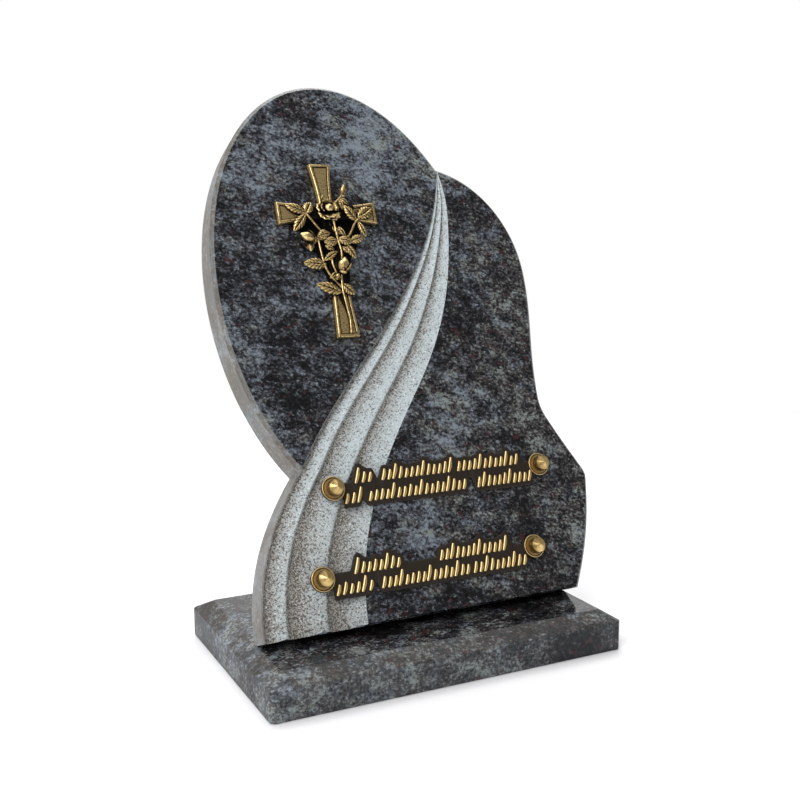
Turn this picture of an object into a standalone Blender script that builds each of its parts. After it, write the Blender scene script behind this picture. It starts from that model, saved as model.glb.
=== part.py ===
"""Leaning granite grave plaque on a bevelled plinth.

The stele leans back on the plinth. Its outline is an oval lobe beside a lower shoulder,
with a fluted swag cut between them. A bronze cross with roses and two bronze inscription
plaques stand on its face, and each plaque is held by two brass studs.
Lengths are in metres. The origin is the centre of the plinth's underside, +Z is up and
the face looks towards -Y.
"""
import math

import bmesh
import bpy
from mathutils import Matrix, Vector

MM = 0.001
GAP = 0.3 * MM

# Plinth
PLINTH_WIDTH = 300 * MM
PLINTH_DEPTH = 188 * MM
PLINTH_EDGE = 24 * MM
TOP_BEVEL_RUN = 13 * MM
TOP_BEVEL_RISE = 8 * MM
CORNER_ARRIS = 3 * MM
FOOT_ARRIS = 1 * MM

# Stele: how it stands
LEAN = math.radians(23.5)
THICKNESS = 28 * MM
FOOT_SETBACK = 42.7 * MM
SEAT_DEPTH = 5 * MM
FRONT_CHAMFER = 3 * MM
BACK_CHAMFER = 1 * MM

# Stele: its size on the face, and the steps that its outline is drawn in
STELE_WIDTH = 308 * MM
STELE_LENGTH = 451 * MM
ACROSS = STELE_WIDTH / 308
UP = STELE_LENGTH / 451

# Stele: the oval lobe, measured on the face from the middle of the foot
LOBE_CENTRE = (-11 * ACROSS, 262 * UP)
LOBE_HALVES = (123.5 * ACROSS, 190 * UP)
LOBE_TILT = math.radians(3.8)
KINK_ANGLE = math.radians(35)
NOTCH_ANGLE = math.radians(225)
LOBE_STEPS = 60

# Stele: the lower outline, as points on it with their headings in degrees
SHOULDER = (151.5 * ACROSS, 280 * UP, -90)
WAIST = (139.5 * ACROSS, 164 * UP, -90)
HIP_SLOPE_TOP = (149.6 * ACROSS, 135 * UP, -63.9)
HIP_SLOPE_END = (165.4 * ACROSS, 105.4 * UP, -61.8)
HIP = (170.5 * ACROSS, 90.4 * UP, -99.8)
FOOT_RIGHT = 138.5 * ACROSS
FOOT_LEFT = 137.5 * ACROSS
KINK_HEADING = -15.4
FOOT_RIGHT_HEADING = -118.8
FOOT_LEFT_HEADING = 89
NOTCH_HEADING = 51.2
CURVE_HANDLE = 0.37
CURVE_STEPS = 6

# Swag: the fluted band between the lobe and the shoulder
SWAG_LEFT_MIDDLE = (17.2 * ACROSS, 251 * UP, -127.2)
SWAG_RIGHT_CREST = (84.5 * ACROSS, 335 * UP, -98)
SWAG_RIGHT_MIDDLE = (24.8 * ACROSS, 182.7 * UP, -126.3)
SWAG_RIGHT_FOOT = -55.5 * ACROSS
SWAG_LEFT_HEADING = -102.5
SWAG_RIGHT_HEADING = -84
SWAG_FOOT_HEADING = -92.3
SWAG_NOTCH_HEADING = -121.1
FLUTE_STARTS = (0.0, 0.22, 0.61)
FLUTE_DEPTH = 4 * MM
RIDGE_DEPTH = 0.8 * MM
SWAG_FULL_WIDTH = 34 * MM
SWAG_LEAST_WIDTH = 0.4 * MM
SWAG_FADE = 0.7
SWAG_STATIONS = 26
SWAG_FIRST_STATION = 0.35
SWAG_STATION_POWER = 0.9
SWAG_LEFT_STEPS = 12
SWAG_RIGHT_STEPS = 10
LEFT_SIDE_STEPS = 10
CUT_MARGIN = 4 * MM

# One flute as shares of its width, each with a share of its depth
FLUTE_SECTION = ((0.1, 0.85), (0.22, 1.0), (0.5, 0.72), (0.78, 0.28))

# Rose cross, measured from the crossing of its arms
CROSS_CENTRE = (-31.5 * ACROSS, 333 * UP)
CROSS_TOP = 43 * MM
CROSS_BOTTOM = 107 * MM
CROSS_SPAN = 87 * MM
CROSS_END_WIDTH = 19 * MM
CROSS_WAIST_WIDTH = 11 * MM
CROSS_THICKNESS = 6 * MM
CROSS_RIM = 1.6 * MM
CROSS_RECESS = 0.9 * MM
FLARE_SHARES = (0.3, 0.65, 1.0)
STEM_RADIUS = 1.1 * MM
LEAF_THICKNESS = 1.6 * MM
LEAF_FOLD = 1.0 * MM
LEAF_ARCH = 0.8 * MM
LEAF_LEAST_HALF = 0.3 * MM
LEAF_START = 0.06
LEAF_SPREAD = 0.92
LEAF_SWELL = 0.75
BUD_SEGMENTS = 8
BUD_RINGS = 6
BUD_TAPER = 0.35
ROSE_CENTRE = (0.7 * MM, 2.6 * MM)
PETALS = 5
PETAL_RADIUS = 5.3 * MM
PETAL_THICKNESS = 3.8 * MM
PETAL_REACH = 5.3 * MM
PETAL_BASE = 2.8 * MM
PETAL_START = math.radians(54)
PETAL_LEAN = math.radians(34)
PETAL_LEAN_STEP = math.radians(2.5)
PETAL_OWN_TURN = math.radians(17)
HEART_RADIUS = 4.2 * MM
HEART_HEIGHT = 8.8 * MM
HEART_BASE = 3.4 * MM
ROSE_SEGMENTS = 8
ROSE_RINGS = 5

# Stems as points (across, up, height off the face) in millimetres from the crossing
STEMS = {
    "main": ((1.8, -104.5, 6.2), (3.0, -93, 6.6), (1.6, -78, 7), (0.8, -66, 7.2), (2.4, -52, 7.4)),
    "left": ((0.6, -66, 6.8), (-9.6, -51, 6.75), (-12.3, -34, 6.9), (-12.6, -22, 6.7)),
    "centre": ((0.8, -60, 6.4), (-3.8, -46, 7), (-3.4, -36, 7)),
    "bud": ((4.6, -42, 7.05), (5.6, -34, 7.2), (4.2, -24, 7.15)),
    "rose": ((4.2, -25, 7.3), (3.8, -18, 7.6), (3.4, -6, 7.35)),
    "left branch": ((-5, -22, 6.2), (-11, -14, 6.9), (-20, -0.8, 7.2)),
    "right branch": ((4.4, -25.4, 6), (14.6, -21, 7), (22, -10, 7.4), (29, -3.4, 7.4)),
    "left bud": ((-6, -24, 6.25), (-12, -23.4, 7.1), (-19, -22.4, 7.15)),
    "small bud": ((-12.9, -23.6, 6.85), (-16, -26, 6.8), (-20, -29.5, 6.6)),
    "top bud": ((3.4, 4.4, 6), (12, 12, 7), (15.6, 16.5, 7.4)),
}

# Leaves as base, tip and width in millimetres from the crossing, and their heights
LEAVES = (
    ((-20.2, -0.4), (-36.6, 7.0), 7.5, 7.4, 6.9),
    ((-20.0, -0.8), (-14.6, 8.2), 8.5, 7.4, 7.8),
    ((-20.2, -1.4), (-32.4, -16.4), 7.5, 7.4, 6.6),
    ((23.8, -7.6), (14.6, 5.6), 7.5, 7.4, 8.4),
    ((26.2, -4.6), (39.8, 3.8), 9.5, 7.4, 7.4),
    ((25.4, -8.4), (30.6, -21.8), 5.5, 7.4, 7.0),
    ((14.6, -25.8), (28.4, -21.8), 7.0, 7.0, 7.4),
    ((4.2, -23.8), (17.0, -26.6), 7.5, 7.6, 8.2),
    ((4.2, -25.6), (-8.6, -26.2), 7.5, 7.6, 8.0),
    ((11.8, -22.6), (6.4, -12.8), 4.5, 7.0, 7.6),
    ((-2.0, -18.6), (-13.4, -21.6), 8.0, 7.6, 8.4),
    ((11.0, -27.6), (18.0, -40.6), 6.5, 6.8, 6.6),
    ((-10.8, -42.0), (1.6, -34.6), 5.5, 7.2, 8.0),
    ((-9.6, -45.4), (-28.6, -43.6), 9.0, 7.2, 6.6),
    ((-0.4, -69.6), (-20.2, -61.8), 9.0, 7.2, 6.8),
    ((1.2, -62.4), (11.0, -71.6), 7.5, 7.0, 6.4),
)
LEAF_STEPS = 5

# A leaf's section: shares of its half width, with rise and fall
LEAF_SECTION = ((-1, 0), (-0.5, 1), (0, 0.2), (0.5, 1), (1, 0), (0.6, -1), (-0.6, -1))

# Buds as centre, radius, length and heading in degrees, and their height off the face
BUDS = (
    ((16.6, 19.6), 2.6, 9.5, 80, 8.0),
    ((-22.6, -21.6), 4.8, 13.0, 160, 8.0),
    ((-20.8, -31.2), 2.8, 7.0, -100, 7.4),
    ((4.6, -46.6), 4.8, 11.0, 75, 9.0),
    ((-1.6, -56.0), 2.6, 5.5, 60, 8.0),
)

# Inscription plaques: the middle of the stud line on the face
STUD_SPACING = 188 * MM
UPPER_PLAQUE_MIDDLE = (27.9 * ACROSS, 106.2 * UP)
LOWER_PLAQUE_MIDDLE = (7.5 * ACROSS, 39.1 * UP)
GROUND_THICKNESS = 2.4 * MM
GROUND_MARGIN = 2.2 * MM
GROUND_CORNER = 3.2 * MM
ROUNDING_SHARES = (0.0, 0.134, 0.5, 1.0)
SPINE_HEIGHT = 8 * MM
EAR_RADIUS = 9.6 * MM
EAR_THICKNESS = 3 * MM
STROKE_RISE = 1.2 * MM
STROKE_WIDTH = 2.4 * MM
STROKE_PITCH = 4.8 * MM
STROKE_SLANT = 0.38
SHORT_STROKE = 8.4 * MM
TALL_STROKE = 12.6 * MM
TALL_EVERY = 5

# Rows of strokes as runs (start, end) and a foot line, in millimetres from the middle
UPPER_PLAQUE_ROWS = (
    (((-72.4, -62), (-49.9, 10.1), (18.1, 73.1)), 1.8),
    (((-84, -73), (-64, 20.1), (34, 83)), -13.2),
)
LOWER_PLAQUE_ROWS = (
    (((-65.1, -30.1), (8, 66.9)), 0.2),
    (((-83, -56.1), (-45.1, 28.9), (36, 82.5)), -13.8),
)

# Brass studs
STUD_CAP_RADIUS = 6.6 * MM
STUD_SHANK_RADIUS = 4.4 * MM
STUD_CAP_BASE = 4.4 * MM
STUD_CAP_EDGE = 6 * MM
STUD_CONE_RISE = 2.4 * MM
STUD_FLAT_RADIUS = 0.5 * MM
STUD_EDGE_EASE = 0.3 * MM
STUD_STEPS = 16

# Mesh limits
FLAT_ANGLE = math.radians(0.05)
STRAIGHT_ANGLE = math.radians(0.5)
SHARP_ANGLE = math.radians(35)
SLIVER = 0.0003 * MM
WELD = 0.01 * MM

# Heights that follow from the sizes above
PLINTH_HEIGHT = PLINTH_EDGE + TOP_BEVEL_RISE
SEAT_DROP = SEAT_DEPTH * math.sin(LEAN) * math.cos(LEAN)
FOOT_LIFT = THICKNESS * math.sin(LEAN) - SEAT_DROP
FOOT_Y = -PLINTH_DEPTH / 2 + FOOT_SETBACK


# Scene helpers

def clear_scene():
    """Remove every object that the file starts with."""
    for obj in list(bpy.data.objects):
        bpy.data.objects.remove(obj, do_unlink=True)


def new_collection(name):
    """Return a new collection linked under the scene's own."""
    collection = bpy.data.collections.new(name)
    bpy.context.scene.collection.children.link(collection)
    return collection


def material(name, colour, roughness, metallic):
    """Return a plain Principled material."""
    made = bpy.data.materials.new(name)
    made.use_nodes = True
    shader = made.node_tree.nodes["Principled BSDF"]
    shader.inputs["Base Color"].default_value = (*colour, 1.0)
    shader.inputs["Roughness"].default_value = roughness
    shader.inputs["Metallic"].default_value = metallic
    return made


def object_from_bmesh(bm, name, collection):
    """Turn a bmesh into a linked object and free it."""
    bmesh.ops.recalc_face_normals(bm, faces=bm.faces)
    mesh = bpy.data.meshes.new(name)
    bm.to_mesh(mesh)
    bm.free()
    obj = bpy.data.objects.new(name, mesh)
    collection.objects.link(obj)
    return obj


def made_mesh(obj, collection, weld=True):
    """Replace an object by a mesh object of its evaluated shape, and weld its caps."""
    bpy.context.view_layer.update()
    evaluated = obj.evaluated_get(bpy.context.evaluated_depsgraph_get())
    mesh = bpy.data.meshes.new_from_object(evaluated)
    if weld:
        bm = bmesh.new()
        bm.from_mesh(mesh)
        bmesh.ops.remove_doubles(bm, verts=bm.verts, dist=WELD)
        bmesh.ops.recalc_face_normals(bm, faces=bm.faces)
        bm.to_mesh(mesh)
        bm.free()
    name = obj.name
    made = bpy.data.objects.new(name, mesh)
    made.matrix_world = obj.matrix_world
    bpy.data.objects.remove(obj, do_unlink=True)
    made.name = name
    collection.objects.link(made)
    return made


def as_cutter(obj):
    """Show a cutting shape as a wire outline only."""
    obj.hide_render = True
    obj.display_type = "WIRE"
    return obj


def boolean(target, tool, operation):
    """Add a Boolean modifier that cuts or joins another object."""
    modifier = target.modifiers.new(operation.title(), "BOOLEAN")
    modifier.operation = operation
    modifier.object = tool
    modifier.solver = "EXACT"
    return modifier


def fused(target, tools, collection):
    """Join overlapping shapes to a target in one union and return one plain mesh."""
    enlarge = Matrix.Scale(1 / MM, 4)
    bm = bmesh.new()
    for tool in tools:
        bm.from_mesh(tool.data)
        bpy.data.objects.remove(tool, do_unlink=True)
    bmesh.ops.transform(bm, matrix=enlarge, verts=bm.verts)
    growth = object_from_bmesh(bm, "growth", collection)
    target.data.transform(enlarge)
    boolean(target, growth, "UNION").use_self = True
    target = made_mesh(target, collection, weld=False)
    bpy.data.objects.remove(growth, do_unlink=True)
    bm = bmesh.new()
    bm.from_mesh(target.data)
    bmesh.ops.remove_doubles(bm, verts=bm.verts, dist=SLIVER / MM)
    bmesh.ops.dissolve_limit(bm, angle_limit=FLAT_ANGLE, verts=bm.verts, edges=bm.edges)
    bmesh.ops.triangulate(bm, faces=bm.faces)
    bmesh.ops.transform(bm, matrix=enlarge.inverted(), verts=bm.verts)
    bm.to_mesh(target.data)
    bm.free()
    return target


def smooth_round(obj):
    """Shade an object smooth apart from its sharp edges."""
    obj.data.shade_smooth()
    obj.data.set_sharp_from_angle(angle=SHARP_ANGLE)


# Shape helpers

def loft(sections):
    """Return a closed bmesh through rings of equal point counts."""
    bm = bmesh.new()
    rings = [[bm.verts.new(point) for point in ring] for ring in sections]
    count = len(rings[0])
    for ring, following in zip(rings, rings[1:]):
        for i in range(count):
            j = (i + 1) % count
            bm.faces.new((ring[i], ring[j], following[j], following[i]))
    bm.faces.new(list(reversed(rings[0])))
    bm.faces.new(rings[-1])
    return bm


def curve_through(keys, steps=CURVE_STEPS):
    """Return points on cubic arcs between keys of across, up and heading in degrees."""
    points = []
    for start, end in zip(keys, keys[1:]):
        reach = CURVE_HANDLE * math.dist(start[:2], end[:2])
        out, back = math.radians(start[2]), math.radians(end[2])
        first = Vector(start[:2])
        last = Vector(end[:2])
        near = first + reach * Vector((math.cos(out), math.sin(out)))
        far = last - reach * Vector((math.cos(back), math.sin(back)))
        for i in range(steps):
            t = i / steps
            points.append((1 - t) ** 3 * first + 3 * t * (1 - t) ** 2 * near
                          + 3 * t * t * (1 - t) * far + t ** 3 * last)
    points.append(Vector(keys[-1][:2]))
    return points


def lobe_point(angle):
    """Return the lobe's outline at an angle counted from its right side."""
    across = LOBE_HALVES[0] * math.cos(angle)
    up = LOBE_HALVES[1] * math.sin(angle)
    turned = Matrix.Rotation(LOBE_TILT, 2) @ Vector((across, up))
    return Vector(LOBE_CENTRE) + turned


def across_at(line, height):
    """Return where a falling line of points crosses a height."""
    for above, below in zip(line, line[1:]):
        if above.y >= height >= below.y:
            share = (above.y - height) / (above.y - below.y)
            return above.x + share * (below.x - above.x)
    return line[0].x if height > line[0].y else line[-1].x


def prism(outline, low, high, name, collection):
    """Return a flat outline as a closed mesh between two heights."""
    data = bpy.data.curves.new(name, "CURVE")
    data.dimensions = "2D"
    data.fill_mode = "BOTH"
    data.extrude = (high - low) / 2
    spline = data.splines.new("POLY")
    spline.points.add(len(outline) - 1)
    for point, place in zip(spline.points, outline):
        point.co = (place[0], place[1], 0, 1)
    spline.use_cyclic_u = True
    obj = bpy.data.objects.new(name, data)
    collection.objects.link(obj)
    made = made_mesh(obj, collection)
    made.data.transform(Matrix.Translation((0, 0, (low + high) / 2)))
    return made


def tube(points, radius, name, collection):
    """Return a round stem along a few points as a closed mesh."""
    data = bpy.data.curves.new(name, "CURVE")
    data.dimensions = "3D"
    data.bevel_depth = radius
    data.bevel_resolution = 0
    data.use_fill_caps = True
    spline = data.splines.new("POLY")
    spline.points.add(len(points) - 1)
    for point, place in zip(spline.points, points):
        point.co = (*place, 1)
    obj = bpy.data.objects.new(name, data)
    collection.objects.link(obj)
    return made_mesh(obj, collection)


def place_on_face(obj, face):
    """Parent an object to the stele's face, whose axes its mesh already uses."""
    obj.parent = face


# Plinth

def make_plinth(parts, stone):
    """Box with eased corners whose top is raised behind a long bevel."""
    bm = bmesh.new()
    bmesh.ops.create_cube(bm, size=1)
    bmesh.ops.scale(bm, vec=(PLINTH_WIDTH, PLINTH_DEPTH, PLINTH_EDGE), verts=bm.verts)
    bmesh.ops.translate(bm, vec=(0, 0, PLINTH_EDGE / 2), verts=bm.verts)
    upright = [e for e in bm.edges if abs(e.verts[0].co.z - e.verts[1].co.z) > PLINTH_EDGE / 2]
    bmesh.ops.bevel(bm, geom=upright, offset=CORNER_ARRIS, segments=1, affect="EDGES")
    under = [e for e in bm.edges if max(v.co.z for v in e.verts) < FOOT_ARRIS]
    bmesh.ops.bevel(bm, geom=under, offset=FOOT_ARRIS, segments=1, affect="EDGES")
    top = [f for f in bm.faces if f.normal.z > 0.9]
    bmesh.ops.inset_region(bm, faces=top, thickness=TOP_BEVEL_RUN, depth=0, use_even_offset=True)
    raised = {v for f in top for v in f.verts}
    bmesh.ops.translate(bm, vec=(0, 0, TOP_BEVEL_RISE), verts=list(raised))
    plinth = object_from_bmesh(bm, "plinth", parts)
    plinth.data.materials.append(stone)
    return plinth


# Stele

def lobe_line():
    """Return the lobe from the kink over the top to the notch."""
    turn = NOTCH_ANGLE - KINK_ANGLE
    return [lobe_point(KINK_ANGLE + turn * i / LOBE_STEPS) for i in range(LOBE_STEPS + 1)]


def right_line():
    """Return the shoulder, waist and hip, from the kink down to the foot."""
    kink = lobe_point(KINK_ANGLE)
    foot = (FOOT_RIGHT, 0, FOOT_RIGHT_HEADING)
    keys = ((*kink, KINK_HEADING), SHOULDER, WAIST, HIP_SLOPE_TOP, HIP_SLOPE_END, HIP, foot)
    return curve_through(keys)


def left_line():
    """Return the lower left side, from the foot up to the notch."""
    notch = lobe_point(NOTCH_ANGLE)
    keys = ((-FOOT_LEFT, 0, FOOT_LEFT_HEADING), (*notch, NOTCH_HEADING))
    return curve_through(keys, LEFT_SIDE_STEPS)


def swag_lines():
    """Return the swag's left and right edges, from the kink down to the foot."""
    kink = lobe_point(KINK_ANGLE)
    notch = lobe_point(NOTCH_ANGLE)
    left_keys = ((*kink, SWAG_LEFT_HEADING), SWAG_LEFT_MIDDLE, (*notch, SWAG_NOTCH_HEADING))
    foot = (SWAG_RIGHT_FOOT, 0, SWAG_FOOT_HEADING)
    right_keys = ((*kink, SWAG_RIGHT_HEADING), SWAG_RIGHT_CREST, SWAG_RIGHT_MIDDLE, foot)
    left = curve_through(left_keys, SWAG_LEFT_STEPS)
    right = curve_through(right_keys, SWAG_RIGHT_STEPS)
    return left + list(reversed(left_line()))[1:], right


def flute_profile():
    """Return shares of the swag's width with a depth share: 1 in a valley, 0 on a ridge."""
    profile = []
    ends = (*FLUTE_STARTS[1:], 1.0)
    for start, end in zip(FLUTE_STARTS, ends):
        profile.append((start, 0.0))
        profile.extend((start + share * (end - start), deep) for share, deep in FLUTE_SECTION)
    profile.append((1.0, 0.0))
    return profile


def swag_cutter(cutters):
    """Return the solid that leaves the fluted band when it is cut from the face."""
    left, right = swag_lines()
    kink = lobe_point(KINK_ANGLE)
    notch = lobe_point(NOTCH_ANGLE)
    profile = flute_profile()
    sections = []
    heights = [kink.y + CUT_MARGIN / 2]
    for i in range(SWAG_STATIONS):
        share = (i + SWAG_FIRST_STATION) / (SWAG_STATIONS - 1 + SWAG_FIRST_STATION)
        heights.append(kink.y * (1 - share ** SWAG_STATION_POWER))
    heights.append(-CUT_MARGIN)
    for height in heights:
        low_x = across_at(left, height)
        high_x = across_at(right, height)
        width = max(high_x - low_x, SWAG_LEAST_WIDTH)
        fullness = min(width / SWAG_FULL_WIDTH, 1.0) ** SWAG_FADE
        overrun = CUT_MARGIN if height < notch.y - MM else 0.0
        ring = [(low_x - overrun, height, CUT_MARGIN)]
        for share, deep in profile:
            depth = RIDGE_DEPTH + deep * (FLUTE_DEPTH - RIDGE_DEPTH)
            across = low_x + share * width
            if share == 0.0:
                across -= overrun
            ring.append((across, height, -depth * fullness))
        ring.append((low_x + width, height, CUT_MARGIN))
        sections.append(ring)
    return as_cutter(object_from_bmesh(loft(sections), "swag_cutter", cutters))


def make_stele(parts, cutters, face, stone):
    """Slab cut to its outline, with eased rims, the fluted swag and a level seat."""
    lobe = lobe_line()
    outline = lobe + list(reversed(left_line()))[1:] + list(reversed(right_line()))[:-1]
    stele = prism(outline, -THICKNESS, 0, "stele", parts)
    bm = bmesh.new()
    bm.from_mesh(stele.data)
    level = [e for e in bm.edges if abs(e.verts[0].co.z - e.verts[1].co.z) < GAP]
    bmesh.ops.dissolve_limit(bm, angle_limit=STRAIGHT_ANGLE, verts=bm.verts, edges=level)
    for height, width in ((0.0, FRONT_CHAMFER), (-THICKNESS, BACK_CHAMFER)):
        rim = [e for e in bm.edges
               if all(abs(v.co.z - height) < WELD for v in e.verts)
               and (height == 0.0 or max(v.co.y for v in e.verts) > GAP)
               and len({round(f.normal.z, 2) for f in e.link_faces}) == 2]
        bmesh.ops.bevel(bm, geom=rim, offset=width, segments=1, affect="EDGES", clamp_overlap=True)
    bm.to_mesh(stele.data)
    bm.free()
    swag = swag_cutter(cutters)
    place_on_face(stele, face)
    place_on_face(swag, face)
    boolean(stele, swag, "DIFFERENCE")
    bm = bmesh.new()
    bmesh.ops.create_cube(bm, size=1)
    bmesh.ops.scale(bm, vec=(2 * PLINTH_WIDTH, PLINTH_DEPTH, PLINTH_EDGE), verts=bm.verts)
    bmesh.ops.translate(bm, vec=(0, FOOT_Y, PLINTH_HEIGHT + GAP - PLINTH_EDGE / 2), verts=bm.verts)
    seat = as_cutter(object_from_bmesh(bm, "seat_cutter", cutters))
    boolean(stele, seat, "DIFFERENCE")
    stele.data.materials.append(stone)
    return stele


# Rose cross

def cross_outline(inset=0.0):
    """Return the flared cross around its crossing, drawn in by an inset."""
    half_end = CROSS_END_WIDTH / 2 - inset
    half_waist = CROSS_WAIST_WIDTH / 2 - inset
    reaches = (CROSS_SPAN / 2, CROSS_TOP, CROSS_SPAN / 2, CROSS_BOTTOM)
    outline = []
    for quarter, reach in enumerate(reaches):
        turn = Matrix.Rotation(quarter * math.pi / 2, 2)
        length = reach - inset
        flare = half_end - half_waist
        for share in FLARE_SHARES:
            outline.append(turn @ Vector((length * share, -half_waist - flare * share ** 2)))
        for share in reversed(FLARE_SHARES):
            outline.append(turn @ Vector((length * share, half_waist + flare * share ** 2)))
        outline.append(turn @ Vector((half_waist, half_waist)))
    return outline


def leaf_sections(base, tip, width):
    """Return the rings of a pointed leaf that is folded along its midrib."""
    base, tip = Vector(base), Vector(tip)
    along = tip - base
    side = along.cross(Vector((0, 0, 1))).normalized()
    over = side.cross(along).normalized()
    sections = []
    for i in range(LEAF_STEPS + 1):
        share = i / LEAF_STEPS
        swell = math.sin(math.pi * (LEAF_START + LEAF_SPREAD * share)) ** LEAF_SWELL
        half = max(width / 2 * swell, LEAF_LEAST_HALF)
        fullness = half / (width / 2)
        middle = base + along * share + over * LEAF_ARCH * math.sin(math.pi * share)
        ring = []
        for across, rise in LEAF_SECTION:
            lift = LEAF_FOLD * rise * fullness if rise > 0 else LEAF_THICKNESS * rise
            ring.append(middle + side * half * across + over * lift)
        sections.append(ring)
    return sections


def make_bud(centre, radius, length, heading, height, collection):
    """Return a pointed bud lying along its heading."""
    bm = bmesh.new()
    bmesh.ops.create_uvsphere(bm, u_segments=BUD_SEGMENTS, v_segments=BUD_RINGS, radius=1)
    for vert in bm.verts:
        taper = 1 - BUD_TAPER * max(vert.co.z, 0)
        vert.co.x *= taper
        vert.co.y *= taper
    bmesh.ops.scale(bm, vec=(radius * MM, radius * MM, length / 2 * MM), verts=bm.verts)
    turn = Matrix.Rotation(math.radians(heading - 90), 4, "Z") @ Matrix.Rotation(-math.pi / 2, 4, "X")
    place = Matrix.Translation((centre[0] * MM, centre[1] * MM, height * MM))
    bmesh.ops.transform(bm, matrix=place @ turn, verts=bm.verts)
    return object_from_bmesh(bm, "bud", collection)


def make_rose(collection):
    """Return the open rose as a ring of cupped petals and a heart."""
    pieces = []
    for i in range(PETALS):
        bm = bmesh.new()
        bmesh.ops.create_uvsphere(bm, u_segments=ROSE_SEGMENTS, v_segments=ROSE_RINGS, radius=1)
        petal = (PETAL_RADIUS, PETAL_RADIUS, PETAL_THICKNESS / 2)
        bmesh.ops.scale(bm, vec=petal, verts=bm.verts)
        own_turn = Matrix.Rotation(PETAL_OWN_TURN * (i + 1), 4, "Z")
        lean = Matrix.Rotation(-PETAL_LEAN - PETAL_LEAN_STEP * i, 4, "Y")
        shift = Matrix.Translation((PETAL_REACH, 0, PETAL_BASE))
        turn = Matrix.Rotation(PETAL_START + math.tau * i / PETALS, 4, "Z")
        bmesh.ops.transform(bm, matrix=turn @ shift @ lean @ own_turn, verts=bm.verts)
        pieces.append(object_from_bmesh(bm, "petal", collection))
    bm = bmesh.new()
    bmesh.ops.create_uvsphere(bm, u_segments=ROSE_SEGMENTS, v_segments=ROSE_RINGS, radius=1)
    bmesh.ops.scale(bm, vec=(HEART_RADIUS, HEART_RADIUS, HEART_HEIGHT / 2), verts=bm.verts)
    bmesh.ops.translate(bm, vec=(0, 0, HEART_BASE), verts=bm.verts)
    pieces.append(object_from_bmesh(bm, "heart", collection))
    for piece in pieces:
        piece.data.transform(Matrix.Translation((*ROSE_CENTRE, CROSS_THICKNESS)))
    return pieces


def make_rose_cross(parts, cutters, face, bronze):
    """Flared cross with a sunk face, and the roses, leaves and stems cast on it."""
    cross = prism(cross_outline(), GAP, GAP + CROSS_THICKNESS, "rose_cross", parts)
    floor = GAP + CROSS_THICKNESS - CROSS_RECESS
    sunk = prism(cross_outline(CROSS_RIM), floor, floor + CUT_MARGIN, "recess_cutter", cutters)
    boolean(cross, sunk, "DIFFERENCE")
    cross = made_mesh(cross, parts, weld=False)
    bpy.data.objects.remove(sunk, do_unlink=True)
    growth = []
    for points in STEMS.values():
        line = [(x * MM, y * MM, z * MM) for x, y, z in points]
        growth.append(tube(line, STEM_RADIUS, "stem", cutters))
    for base, tip, width, base_height, tip_height in LEAVES:
        start = (base[0] * MM, base[1] * MM, base_height * MM)
        end = (tip[0] * MM, tip[1] * MM, tip_height * MM)
        sections = leaf_sections(start, end, width * MM)
        growth.append(object_from_bmesh(loft(sections), "leaf", cutters))
    for bud in BUDS:
        growth.append(make_bud(*bud, cutters))
    growth.extend(make_rose(cutters))
    cross = fused(cross, growth, parts)
    cross.data.transform(Matrix.Translation((*CROSS_CENTRE, 0)))
    place_on_face(cross, face)
    cross.data.materials.clear()
    cross.data.materials.append(bronze)
    smooth_round(cross)
    return cross


# Inscription plaques

def box_reach(box, across):
    """Return a rounded rectangle's lower and upper edge at one place across it."""
    left, right, bottom, top = box
    if not left <= across <= right:
        return None
    inside = min(across - left, right - across, GROUND_CORNER)
    rounding = GROUND_CORNER - math.sqrt(GROUND_CORNER ** 2 - (GROUND_CORNER - inside) ** 2)
    return bottom + rounding, top - rounding


def ground_outline(boxes):
    """Return the outline around overlapping rounded rectangles, which runs left to right."""
    stations = set()
    for left, right, bottom, top in boxes:
        for share in ROUNDING_SHARES:
            stations.update((left + GROUND_CORNER * share, right - GROUND_CORNER * share))
    lower, upper = [], []
    for across in sorted(stations):
        reaches = [reach for reach in (box_reach(box, across) for box in boxes) if reach]
        lower.append((across, min(low for low, high in reaches)))
        upper.append((across, max(high for low, high in reaches)))
    if upper[0][1] - lower[0][1] < GAP:
        lower = lower[1:]
    if upper[-1][1] - lower[-1][1] < GAP:
        lower = lower[:-1]
    return lower + list(reversed(upper))


def stroke_places(rows):
    """Return each stroke's foot and height, counted from the plaque's middle."""
    places = []
    count = 0
    for runs, foot in rows:
        for start, end in runs:
            number = max(int((end - start) * MM / STROKE_PITCH), 1)
            for i in range(number + 1):
                across = start * MM + (end - start) * MM * i / number
                height = TALL_STROKE if count % TALL_EVERY == 0 else SHORT_STROKE
                places.append((across, foot * MM, height))
                count += 1
    return places


def stroke_outline(across, foot, height):
    """Return one slanting stroke."""
    half = STROKE_WIDTH / 2
    shape = ((-half, 0), (half, 0), (half, height), (-half, height))
    return [(across + x + STROKE_SLANT * (y - height / 2), foot + y) for x, y in shape]


def ground_boxes(rows):
    """Return the sides of the spine between the ears, and of each run, as rectangles."""
    half = STUD_SPACING / 2
    boxes = [(-half, half, -SPINE_HEIGHT / 2, SPINE_HEIGHT / 2)]
    side = (STROKE_SLANT * TALL_STROKE + STROKE_WIDTH) / 2 + GROUND_MARGIN
    for runs, foot in rows:
        bottom = foot * MM - GROUND_MARGIN
        top = foot * MM + TALL_STROKE + GROUND_MARGIN / 2
        for start, end in runs:
            boxes.append((start * MM - side, end * MM + side, bottom, top))
    return boxes


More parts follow.
